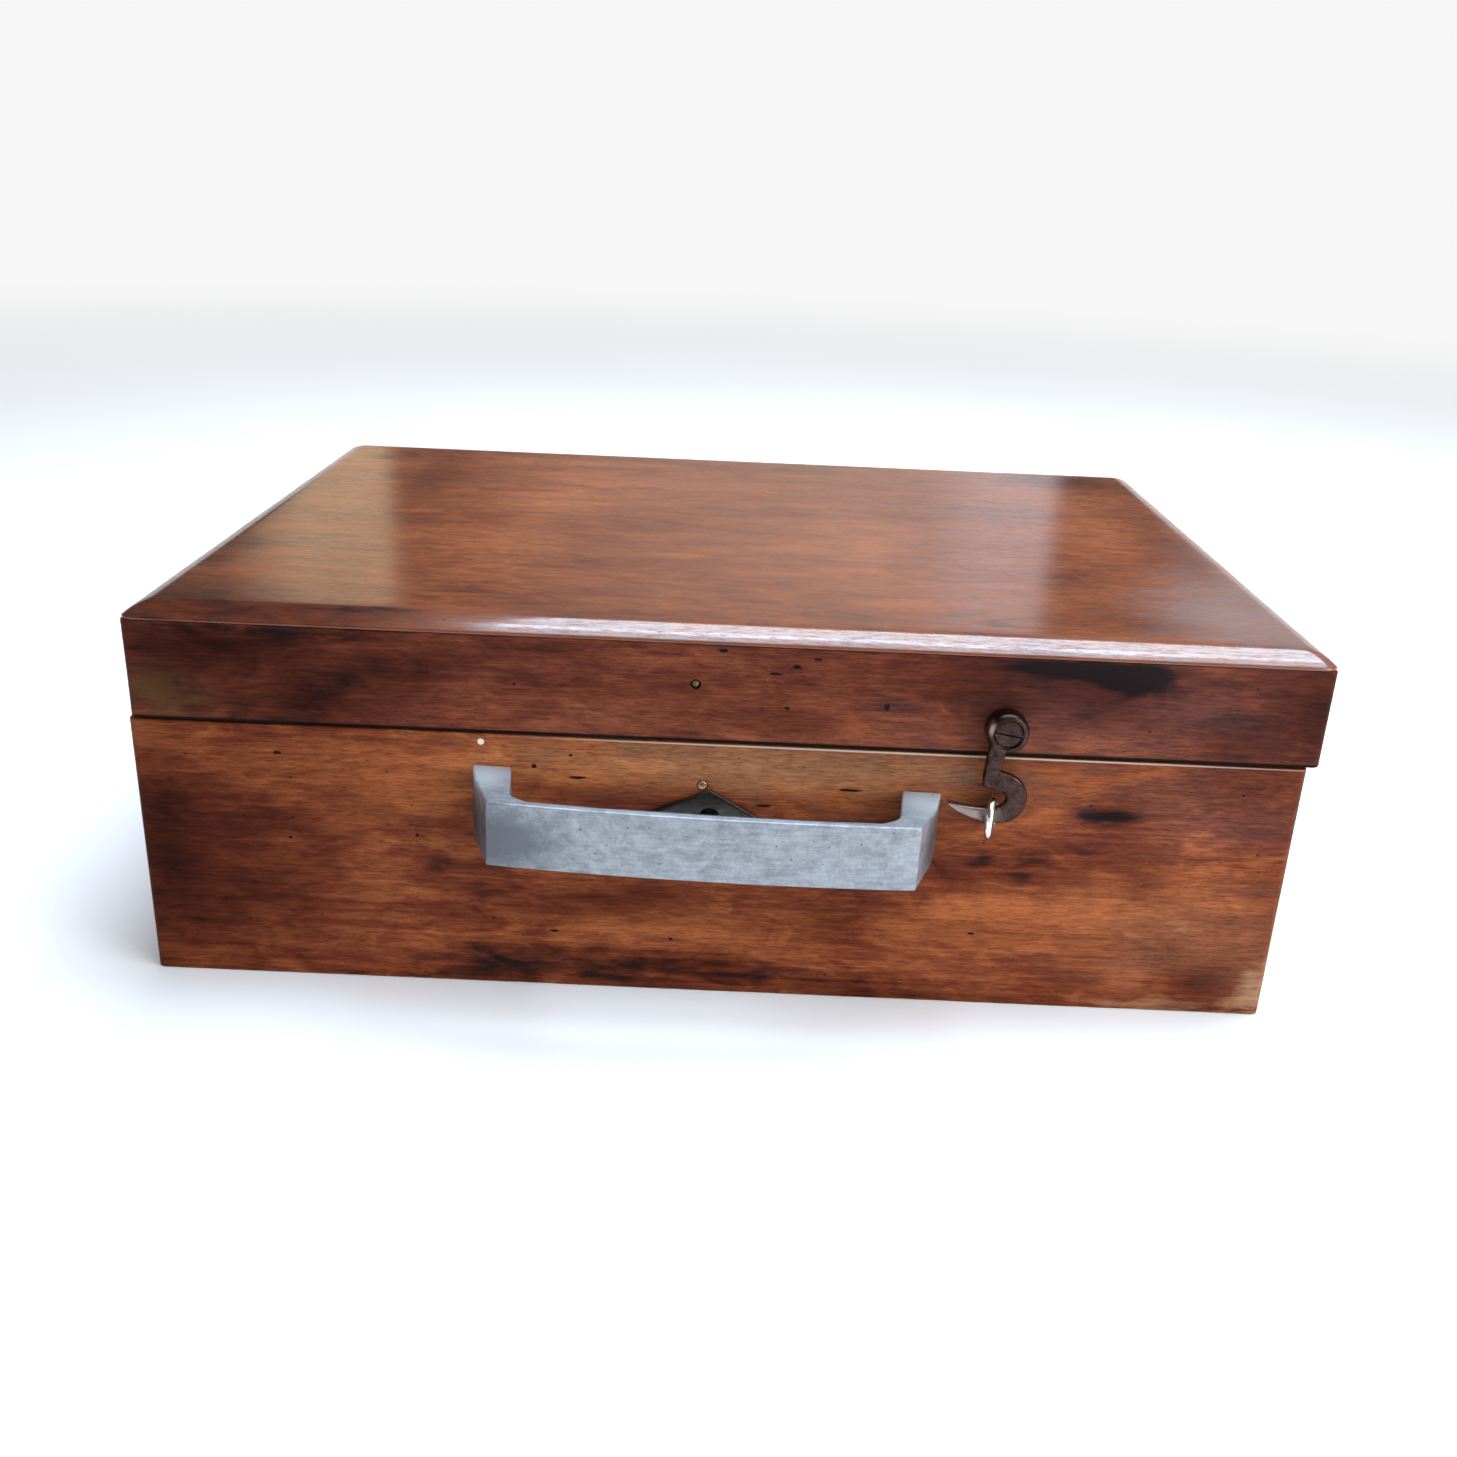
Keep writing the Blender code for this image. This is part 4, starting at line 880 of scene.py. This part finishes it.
board = case_board("front", case_wood, 11)
carve(board, *case_front_cuts())
leave_inside_bare(board, "front", inner_long_wood)
paint(
    board, "XZ",
    # The dark oval at x -71, z 24 is painted shadow beside the left pull foot
    dark=[
        (-178, 30, 14, 30, 0.3), (-165, 6, 26, 8, 0.25), (-71, 24, 6, 24, 0.4), (-20, 5, 62, 8, 0.45),
        (30, 8, 30, 6, 0.3), (116.5, 67, 8.5, 2.4, 1.2), (124, 65.4, 6, 1.6, 0.7), (81.5, 50, 4, 5.5, 0.8),
        (93, 44, 6, 4.5, 0.7), (98, 53, 5, 3.5, 0.5), (139, 23, 9, 5, 0.5), (157, 15, 8, 5, 0.4),
        (70, 50, 5, 6, 0.4), (-83, 42, 4, 5, 0.5), (46, 37, 9, 5, 0.4), (112, 56, 10, 3, 0.4),
        (-58, 7, 52, 7, 0.35),
    ],
    # The amber ovals at z 20 and 21 below the pull are amber stain with painted light thrown down from the
    # pull
    amber=[
        (-133, 69, 40, 12, 0.4), (-35, 21, 28, 7, 0.6), (2, 20, 34, 7, 0.6), (82, 30, 30, 11, 0.7),
        (28, 74, 32, 7, 0.4), (-98, 66, 22, 12, 0.5), (110, 34, 26, 9, 0.7), (-30, 76, 30, 6, 0.4),
        (150, 40, 22, 8, 0.6), (-96, 27, 16, 6, 0.5),
    ],
    worn=[
        (171, 11, 8, 11, 0.75), (150, 3, 28, 3, 0.6), (-70, 77, 4, 3, 0.3), (20, 78, 70, 7, 0.35),
        (140, 30, 24, 6, 0.35),
    ],
    olive=[
        (-150, 30, 18, 14, 0.3), (-170, 70, 8, 12, 0.3),
    ],
    # Tone ovals: the stain's own lighter and darker patches, and painted shade that darkens the left end
    tone=[
        (-180, 40, 34, 40, -0.66), (-140, 45, 20, 40, -0.22), (-112, 64, 34, 18, -0.30),
        (-130, 32, 20, 14, -0.30), (-166, 50, 10, 30, -0.25), (-95, 45, 10, 6, 0.30),
        (-28, 31, 22, 8, -0.60), (20, 32, 34, 12, -0.10), (40, 28, 10, 6, -0.15), (119, 67, 9, 8, -0.42),
        (105, 62, 8, 6, 0.15), (162, 78, 20, 9, -0.45), (20, 77, 65, 7, 0.38), (-55, 77, 26, 8, 0.45),
        (148, 60, 12, 8, 0.25), (132, 44, 12, 7, -0.25), (82, 47, 22, 8, -0.25), (100, 18, 55, 8, 0.10),
        (-60, 33, 12, 26, -0.10), (38, 28, 12, 8, -0.35), (-48, 9, 22, 6, -0.15), (2, 10, 24, 7, -0.50),
        (-95, 9, 16, 7, 0.35), (78, 9, 22, 6, 0.40), (88, 26, 30, 7, -0.20), (150, 9, 14, 8, -0.50),
        (150, 60, 8, 5, 0.15), (132, 11, 9, 6, 0.60), (-150, 12, 16, 10, -0.15), (22, 9, 12, 6, 0.25),
    ],
    edge=CASE_EDGE, edge_wear=0.5,
)
keep(board, "case", "case_wood", "case_front")

board = lid_board("front", lid_wood, 21)
carve(board, *lid_front_cuts())
leave_inside_bare(board, "front", inner_long_wood)
paint(
    board, "XZ",
    dark=[
        (110, 112, 17, 3.6, 1.4), (121, 109, 10, 4.6, 1.4), (92, 113.4, 16, 2.0, 0.9),
        (148, 111, 14, 3.5, 0.45), (-140, 113.6, 36, 2.4, 0.8), (-108, 102, 6, 4, 0.6),
        (-117, 95, 7, 4, 0.6), (-168, 108, 8, 5, 0.4), (-20, 113.8, 50, 1.6, 0.4), (108, 99, 5, 3, 0.5),
        (155, 99, 16, 8, 0.3), (-124, 89, 8, 2, 0.5), (50, 100, 12, 4, 0.35), (-85, 108, 20, 3, 0.3),
        (64, 102, 6, 3, 0.4),
    ],
    amber=[
        (20, 98, 42, 7, 0.4), (-55, 90, 40, 5, 0.5), (30, 90, 50, 4, 0.5), (96, 93, 20, 5, 0.6),
        (120, 90, 24, 4, 0.5), (2, 109, 22, 4, 0.4),
    ],
    worn=[
        (-20, 89, 30, 2.5, 0.45), (60, 88, 26, 2, 0.35), (170, 90, 6, 6, 0.25),
    ],
    olive=[
        (-164, 96, 11, 9, 1.0), (-150, 91, 14, 5, 0.5),
    ],
    tone=[
        (-152, 106, 32, 12, -0.68), (-120, 92, 18, 8, -0.60), (-37, 90, 14, 5, 0.62),
        (-95, 103, 16, 12, -0.38), (-35, 101, 10, 5, -0.18), (-66, 89, 12, 4, -0.20),
        (22, 92, 14, 6, -0.25), (22, 102, 10, 4, -0.15), (52, 98, 12, 6, 0.40), (55, 88, 24, 3, 0.30),
        (97, 99, 8, 4, 0.25), (125, 90, 40, 6, 0.10), (149, 91, 10, 5, -0.32), (140, 101, 12, 4, 0.25),
        (72, 107, 26, 10, -0.50), (-148, 110, 14, 5, -0.15), (-124, 110, 12, 5, -0.25),
        (178, 104, 22, 18, -0.60), (112, 104, 18, 9, -0.35), (-160, 92, 16, 7, -0.15),
        (-8, 101, 14, 5, -0.18), (-5, 87.5, 60, 2, 0.30),
    ],
    edge=LID_EDGE, edge_wear=0.1,
)
keep(board, "lid", "lid_wood", "lid_front")

for side, seed in (("left", 31), ("right", 41), ("back", 51)):
    if side == "back":
        plane, outer_case, outer_lid, inner = "XZ", case_wood, lid_wood, inner_long_wood
    else:
        plane, outer_case, outer_lid, inner = "YZ", side_wood, side_wood, inner_side_wood
    case_part = case_board(side, outer_case, seed)
    lid_part = lid_board(side, outer_lid, seed + 5)
    if side == "back":
        carve(case_part, *hinge_cuts(CASE_TOP, -1))
        carve(lid_part, *hinge_cuts(LID_BOTTOM, 1))
    leave_inside_bare(case_part, side, inner)
    leave_inside_bare(lid_part, side, inner)
    paint(case_part, plane, edge=CASE_EDGE, edge_wear=0.8, strays=seed)
    paint(lid_part, plane, edge=LID_EDGE, edge_wear=0.5, strays=seed + 5)
    keep(case_part, "case", "case_wood", f"case_{side}")
    keep(lid_part, "lid", "lid_wood", f"lid_{side}")

board = make_piece("lid_top_board", [lid_top_points()], top_wood, 50)
leave_inside_bare(board, "top", inner_long_wood)
paint(
    board, "XY",
    dark=[
        (-159, -52, 8, 9, 0.7), (-163, -78, 5, 7, 0.6), (-152, 97, 7, 5, 1.0), (-141, 104, 5, 4, 0.7),
        (-124, 78, 6, 30, 0.3), (124, -104, 28, 9, 0.35), (173, 96, 5, 20, 0.4), (-170, -100, 10, 20, 0.4),
        (164, -20, 5, 60, 0.2), (-160, -118, 16, 5, 0.5), (-110, -122, 40, 3, 0.5), (60, -112, 50, 5, 0.2),
        (128, 112, 14, 8, 0.5), (10, 104, 40, 6, 0.2), (-40, -116, 20, 2, 0.4), (92, -112, 18, 2, 0.5),
    ],
    amber=[
        (-94, 101, 14, 8, 1.0), (-62, 102, 14, 7, 0.7), (141, 8, 16, 50, 0.5), (-60, 20, 50, 50, 0.3),
        (40, -30, 60, 40, 0.3), (20, 60, 60, 30, 0.3), (-85, -40, 30, 14, 0.5), (70, -90, 40, 8, 0.5),
    ],
    worn=[
        (172, -50, 5, 40, 0.5), (-172, 20, 4, 90, 0.2),
    ],
    olive=[
        (170, -60, 10, 30, 0.4),
    ],
    # Tone ovals: the stain's own patches, and painted shade on the left of the front rounding
    tone=[
        (-168, -115, 50, 16, -0.50), (-168, -60, 12, 50, -0.20), (-172, 0, 9, 60, -0.30),
        (-110, -124, 50, 6, -0.35), (-55, 60, 45, 60, 0.25), (-60, -60, 60, 40, 0.15),
        (120, -106, 30, 10, -0.2), (146, 108, 20, 18, -0.68), (-173, -10, 8, 70, -0.35),
        (60, 110, 20, 12, 0.12), (-88, -106, 16, 12, 0.22), (140, 0, 22, 70, 0.12), (-72, 20, 16, 90, 0.22),
        (102, -112, 26, 10, 0.30), (50, -20, 16, 80, 0.18), (-36, -20, 16, 80, -0.12),
        (-122, 40, 10, 90, -0.25), (165, -20, 14, 60, -0.25),
    ],
    edge=TOP_EDGE, edge_wear=0.1,
)
keep(board, "lid", "lid_wood", "lid_top")


# Pull

PULL_TILT = math.radians(1.1)
PULL_CENTRE = (-2.9, 63.7)
PULL_HALF_HEIGHT = 10.0
PULL_REACH = FRONT - CLEARANCE - node_box("pull_handle")[0][1]
NOSE = (61.7, -26.0)
BAR_THICK = 3.2
BOW_INSIDE = 0.82
PULL_EASE = 0.7


def pull_outline():
    """The pull seen from above, its wall side at 0. The front is a shallow bow of radius (n^2 + s^2) / 2s
    for a half width n and a sag s; the inside is the same bow less the bar's thickness, run into each foot
    by an arc."""
    sag = PULL_REACH + NOSE[1]
    bow_radius = (NOSE[0] ** 2 + sag**2) / (2 * sag)
    bow_half = math.degrees(math.asin(NOSE[0] / bow_radius))
    centre = (0.0, bow_radius - PULL_REACH)
    front = arc_points(centre, bow_radius, 270 - bow_half + 0.5, 270 + bow_half - 0.5, 61)
    nose = arc_points((NOSE[0] - 0.85, NOSE[1] + 1.0), 1.0, -55, 0, 6)
    inside_half = BOW_INSIDE * bow_half
    inside = arc_points(centre, bow_radius - BAR_THICK, 270 + inside_half, 270 - inside_half, 51)
    fillet = arc_points((49.9, -16.4), 6.4, -62, -4, 14)
    foot = [(67.8, -9.5), (68.6, -6.0), (69.4, -2.6), (70.0, 0.0), (58.5, 0.0), (57.8, -5.0), (57.2, -9.5)]
    right = np.vstack([nose, foot, fillet[::-1]])
    left = (right * (-1, 1))[::-1]
    return np.vstack([front, right, inside, left])


handle = make_piece(
    "cast_pull",
    [laid(eased_prism(pull_outline(), -PULL_HALF_HEIGHT, PULL_HALF_HEIGHT, PULL_EASE, 5), "XYZ", PULL_TILT,
          (PULL_CENTRE[0], FRONT - CLEARANCE, PULL_CENTRE[1]))],
    aluminium, 40,
)
keep(handle, "case", "pull_aluminium", "pull_handle")


# Keyhole plate

PLATE_TILT = math.radians(2.7)
PLATE_CENTRE = (-2.4, 56.8)
PLATE_HALF = (26.0, 13.5)
PLATE_EASE = 0.9
PLATE_FACE = FRONT - CLEARANCE - 1.0


def lozenge_shell():
    """A diamond with blunted points and rounded rims. A rim that is to stand e(1 - cos a) in from the edge
    is the outline shrunk by that distance over d, d being how far the long edges lie from the middle."""
    half_x, half_z = PLATE_HALF
    lower = np.array([(-0.985, -0.015), (-0.015, -0.985), (0.015, -0.985), (0.985, -0.015)])
    outline = np.vstack([lower, -lower]) * PLATE_HALF
    edge_away = half_x * half_z / math.hypot(half_x, half_z)
    angle = np.linspace(math.pi / 2, 0, 5)
    inset = np.concatenate([PLATE_EASE * (1 - np.cos(angle)), [0.0]])
    height = np.concatenate([PLATE_FACE + 0.5 * (1 - np.sin(angle)), [FRONT - CLEARANCE]])
    rings = outline[None] * (1 - inset / edge_away)[:, None, None]
    tall = np.repeat(height[:, None, None], len(outline), 1)
    return grid_shell(np.concatenate([rings, tall], -1), closed_columns=True, cap_rows=True)


plate = make_piece(
    "lozenge_keyhole_plate",
    [laid(lozenge_shell(), "XZY", PLATE_TILT, (PLATE_CENTRE[0], 0, PLATE_CENTRE[1]))],
    plate_steel,
)
carve(plate, keyhole_cutter(PLATE_FACE - 1, FRONT + 1, KEY_RADIUS - 0.2, SLOT_HALF - 0.2, SLOT_LOW + 0.3))
keep(plate, "case", "plate_steel", "keyhole_plate")


# Hook and eye

PIVOT = (84.0, 94.3)
HOOK_FACE = (FRONT - 7.0, FRONT - 4.0)
ARM_RADII = (23.6, 28.2)
ARM_TIP = -35.0
HOOK_EASE = 0.9
TIP_EASE = 0.08


def round_pivot(radius, degrees):
    """X and Z from the pivot, at an angle from straight down, positive to the right."""
    angle = np.radians(degrees)
    return np.stack([radius * np.sin(angle), -radius * np.cos(angle)], -1)


def hook_outline():
    """Neck, C-shaped bend and arm, with the ease of each point's rim. The arm's two edges are circles about
    the pivot that draw together towards its tip."""
    near, far = ARM_RADII
    share = np.linspace(0, 1, 25)
    falls, climbs = 0.9 * share**4, 3.4 * share**2
    lower = round_pivot(far - falls, ARM_TIP * share)[::-1]
    upper = round_pivot(near + climbs, np.where(share > 0.05, ARM_TIP * share, -4))
    tip = round_pivot(np.array([(near + far) / 2 + 1.2]), ARM_TIP)
    bend = arc_points((-0.4, -20.3), 8.1, -80, 80, 30)
    throat = arc_points((-1.3, -20.6), 2.75, -60, 62, 14)
    neck_right = np.array([(-1.0, -11.6), (-0.1, -6.0), (1.0, -2.0)])
    neck_left = np.array([(-4.6, -2.0), (-5.4, -7.0), (-5.9, -13.4), (-5.8, -16.6)])
    outline = np.vstack([tip, lower[1:], bend, neck_right, neck_left, throat[::-1], upper[1:-1]])
    ease = np.full(len(outline), HOOK_EASE)
    thin = np.clip(0.28 * (far - near - falls - climbs), TIP_EASE, HOOK_EASE)
    ease[0] = TIP_EASE
    ease[1:len(lower)] = thin[::-1][1:]
    ease[len(outline) - len(upper) + 2:] = thin[1:-1]
    return outline, ease


hook_edge, hook_ease = hook_outline()
hook = make_piece(
    "iron_hook",
    [laid(eased_prism(hook_edge, *HOOK_FACE, hook_ease, 4), "XZY", 0, (PIVOT[0], 0, PIVOT[1]))],
    iron,
)
BOSS_RADIUS = 6.2
BOSS_PLACE = (PIVOT[0], FRONT - 7.1, PIVOT[1])
BOSS = [(0, 0), (4.3, 0), (5.0, 0.12), (5.6, 0.45), (6.0, 1.0), (BOSS_RADIUS, 1.8), (BOSS_RADIUS, 6.0),
        (5.9, 6.6), (0, 6.8)]
COUNTERSINK = [(0, -1), (4.5, -1), (4.45, 0.7), (1.9, 2.6), (1.9, 9), (0, 9)]
weld(hook, [turned_shell(BOSS, BOSS_PLACE, (0, 1, 0), 56)])
carve(hook, [turned_shell(COUNTERSINK, BOSS_PLACE, (0, 1, 0), 48)])
keep(hook, "hook", "hook_iron", "hook")

SCREW = [(0, -0.05), (2.6, 0), (3.6, 0.12), (4.05, 0.3), (4.1, 0.55), (1.6, 2.3), (1.6, 12), (0, 14)]
SCREW_PLACE = (PIVOT[0], FRONT - 6.7, PIVOT[1])
SCREW_SLOT = [(-6, -0.4), (6, -0.4), (6, 0.4), (-6, 0.4)]
SCREW_TURN = math.radians(9)
screw = make_piece("hook_pivot_screw", [turned_shell(SCREW, SCREW_PLACE, (0, 1, 0), 48)], iron)
carve(screw, [laid(eased_prism(SCREW_SLOT, -1.0, 0.75, 0.0, 1), "XZY", SCREW_TURN, SCREW_PLACE)])
keep(screw, "lid", "hook_iron", "hook_screw")

EYE_X = 83.8
EYE_Z = 68.0
EYE_OUT = 7.2
EYE_RADIUS = 5.6
EYE_WIRE = 1.15
EYE_YAW = math.radians(-17)
EYE_SHANK = [(0, 0.4), (1.3, 0.4), (1.3, -6), (0, -9)]


def eye_shells():
    """A wire ring, ((R + w cos b) cos a, (R + w cos b) sin a, w sin b) over both angles, stood on edge and
    turned a little from square to the front, and the round shank that runs from it into the wood."""
    around = np.linspace(0, math.tau, 72, endpoint=False)[:, None]
    wire = np.linspace(0, math.tau, 20, endpoint=False)[None]
    reach = EYE_RADIUS + EYE_WIRE * np.cos(wire)
    thick = EYE_WIRE * np.sin(wire) + 0 * around
    ring = np.stack([thick, reach * np.cos(around), reach * np.sin(around)], -1)
    points, faces = grid_shell(ring, closed_rows=True, closed_columns=True)
    shank, shank_faces = turned_shell(EYE_SHANK, (0, EYE_RADIUS, 0), (0, -1, 0), 28)
    spin = np.array(Matrix.Rotation(EYE_YAW, 3, "Z"))
    place = np.array([EYE_X, FRONT, EYE_Z]) + spin @ np.array([0, -EYE_OUT, 0])
    return (points @ spin.T + place, faces), (shank @ spin.T + place, shank_faces)


ring_shell, shank_shell = eye_shells()
eye = make_piece("nickel_screw_eye", [ring_shell], nickel)
weld(eye, [shank_shell])
keep(eye, "case", "eye_nickel", "screw_eye")


# Small pins


def pin_piece(name, node, body, dome, look=pin_brass):
    """A round pin whose head rises by a shallow dome of the given height, then runs straight in."""
    low, high = node_box(node)
    radius = (high[0] - low[0]) / 2
    angle = np.linspace(0, math.pi / 2, 6)
    head = np.stack([radius * np.sin(angle), dome * (1 - np.cos(angle))], -1)
    line = np.vstack([head, [(radius, high[1] - low[1]), (0, high[1] - low[1])]])
    middle = (low + high) / 2
    pin = make_piece(name, [turned_shell(line, (middle[0], low[1], middle[2]), (0, 1, 0), 28)], look)
    keep(pin, body, "brass_pin", node)


pin_piece("brass_case_pin", "case_front_pin", "case", 0.35)
pin_piece("brass_lid_pin", "lid_front_pin", "lid", 0.3, lid_pin_brass)
pin_piece("brass_plate_pin_left", "keyhole_plate_pin_left", "case", 0.3)
pin_piece("brass_plate_pin_right", "keyhole_plate_pin_right", "case", 0.3)


# Looks of the nodes that stay as packed

STAYING = {
    "partition_long": inside_wood, "well_divider_1": cross_wood, "well_divider_2": cross_wood,
    "case_bottom": panel_wood, "lock_case": lock_steel, "lock_cap": lock_brass, "lock_bolt": lock_brass,
    "lock_spring": lock_steel, "lock_key_pin": key_pin_shade_steel, "strike_plate": lock_steel,
}
for node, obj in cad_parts.items():
    obj.data.materials.clear()
    obj.data.materials.append(hinge_brass if node.endswith("_leaf") else STAYING.get(node, screw_steel))


# Floor, light and camera

FLOOR_GAP = 0.05


def studio_floor():
    """A flat pale disc: rings of radius r at even angles, the outermost far past the view. Away from the box
    its paint fades from lit to faintly glowing, so that it meets the pale horizon without a line."""
    radius = np.array([0.0, 300.0, 900.0, 2500.0, 9000.0])[:, None]
    angle = np.linspace(0, math.tau, 64, endpoint=False)[None]
    points = np.stack([radius * np.cos(angle), radius * np.sin(angle), 0 * radius * angle - FLOOR_GAP], -1)
    paint_look = Finish("pale_floor_paint", Roughness=0.85, Specular_IOR_Level=0.0)
    cloud = paint_look.noise((400, 400, 400), 2)
    far = paint_look.rise(paint_look.near((0, 0, 0), (1000, 1000, 1000)), 0.35, 2.6)
    pale = paint_look.ramp(cloud, (0.3, (0.86, 0.86, 0.86)), (0.7, (0.89, 0.89, 0.89)))
    paint_look.drive("Base Color", paint_look.mix(far, pale, (0.0, 0.0, 0.0)))
    paint_look.drive("Emission Color", (0.93, 0.93, 0.93, 1.0))
    paint_look.drive("Emission Strength", far)
    floor = make_piece("studio_floor", [grid_shell(points, closed_columns=True)], paint_look.look)
    if floor.data.polygons[0].normal.z < 0:
        floor.data.flip_normals()


def softbox(name, place, aim, size, power, colour):
    """A rectangular area light of the given width and height that looks at a point."""
    lamp = bpy.data.lights.new(name, "AREA")
    lamp.shape = "RECTANGLE"
    lamp.size, lamp.size_y = size
    lamp.energy = power
    lamp.color = colour
    obj = bpy.data.objects.new(name, lamp)
    obj.location = place
    obj.rotation_euler = (Vector(aim) - Vector(place)).to_track_quat("-Z", "Y").to_euler()
    bpy.context.scene.collection.objects.link(obj)


# Colours by degrees to the right of straight behind, and by share of the way from the horizon to overhead
WALL_BAND = (
    (-32, (0.08, 0.07, 0.06)), (-20.5, (0.12, 0.11, 0.10)), (-17.6, (0.90, 0.76, 0.52)),
    (-14.3, (0.92, 0.78, 0.54)), (-13.7, (0.05, 0.04, 0.035)), (-11, (0.08, 0.07, 0.06)),
    (-5, (0.34, 0.31, 0.28)), (3, (0.55, 0.52, 0.47)), (7.4, (0.58, 0.56, 0.55)), (9.8, (0.92, 0.90, 0.97)),
    (12.2, (0.92, 0.90, 0.97)), (12.9, (0.06, 0.045, 0.03)), (16.5, (0.08, 0.07, 0.06)),
    (19.5, (0.55, 0.57, 0.60)), (32, (0.30, 0.31, 0.33)),
)
SKY = (
    (0.0, (0.93, 0.93, 0.93)), (0.155, (0.93, 0.93, 0.93)), (0.19, (0.34, 0.33, 0.32)),
    (0.36, (0.34, 0.34, 0.34)), (0.5, (0.8, 0.81, 0.83)), (0.75, (1.5, 1.53, 1.57)), (1.0, (1.8, 1.84, 1.9)),
)
BAND_SPAN = 32.0
HIGH_SHADE = (0.07, 0.07, 0.08)


def room_light():
    """Light from all round, by direction: pale at the horizon, bright overhead and shaded high on the left.
    Between them, behind the box, lies a dim wall with a lighter middle, a beige window and a pale upright
    strip, which the lid's polish reflects."""
    world = bpy.data.worlds.new("studio_air")
    world.use_nodes = True
    bpy.context.scene.world = world
    air = Nodes(world.node_tree)
    x, y, z = air.add("SeparateXYZ", {0: air.add("TexCoord", {}).outputs["Generated"]}).outputs
    azimuth = air.times(air.sum("ARCTAN2", x, y), math.degrees(1))
    height = air.times(air.sum("ARCSINE", z), math.degrees(1))
    sky = air.ramp(air.sum("DIVIDE", height, 90.0), *SKY)
    shaded = air.times(air.rise(x, -0.12, -0.28), air.rise(height, 10, 26, 0.0, 0.95))
    sky = air.mix(shaded, sky, HIGH_SHADE)
    place = air.total(0.5, (azimuth, 0.5 / BAND_SPAN))
    wall = air.ramp(place, *((0.5 + 0.5 * at / BAND_SPAN, colour) for at, colour in WALL_BAND))
    inside = air.times(air.rise(height, 6.6, 8.2), air.rise(height, 21, 16.5))
    inside = air.times(inside, air.rise(air.sum("ABSOLUTE", azimuth), BAND_SPAN, BAND_SPAN - 4))
    background = air.tree.nodes["Background"]
    air.feed(background.inputs["Color"], air.mix(inside, sky, wall))
    background.inputs["Strength"].default_value = 1.0


CAMERA_PLACE = (0.0038, -0.5171, 0.2451)
CAMERA_YAW, CAMERA_PITCH, CAMERA_ROLL = np.radians((-0.117, 21.744, -2.453))
CAMERA_LENS = 35.17
CAMERA_SENSOR = 36.0


def studio_camera():
    """The camera stands low in front and looks down on the box, level to within a few degrees."""
    yaw, pitch, roll = CAMERA_YAW, CAMERA_PITCH, CAMERA_ROLL
    ahead = Vector((math.sin(yaw) * math.cos(pitch), math.cos(yaw) * math.cos(pitch), -math.sin(pitch)))
    right = Vector((math.cos(yaw), -math.sin(yaw), 0.0))
    down = ahead.cross(right)
    across = math.cos(roll) * right + math.sin(roll) * down
    below = -math.sin(roll) * right + math.cos(roll) * down
    lens = bpy.data.cameras.new("studio_camera")
    lens.lens = CAMERA_LENS
    lens.sensor_width = CAMERA_SENSOR
    lens.clip_start = 0.01
    camera = bpy.data.objects.new("studio_camera", lens)
    turn = Matrix((across, -below, -ahead)).transposed()
    camera.matrix_world = Matrix.Translation(CAMERA_PLACE) @ turn.to_4x4()
    bpy.context.scene.collection.objects.link(camera)
    bpy.context.scene.camera = camera


studio_floor()
room_light()
softbox("sky_panel", (0.22, 0.30, 0.92), (0.22, 0.30, 0.0), (0.84, 0.80), 13.0, (0.76, 0.88, 1.02))
softbox("key_panel", (0.75, -0.65, 0.42), (0.0, -0.1, 0.06), (0.5, 0.5), 5.0, (1.0, 0.96, 0.90))
softbox("strip_panel", (0.21, -0.16, 0.94), (0.21, -0.16, 0.0), (0.86, 0.40), 4.6, (0.64, 0.85, 1.08))
studio_camera()
bpy.context.scene.view_settings.view_transform = "Standard"
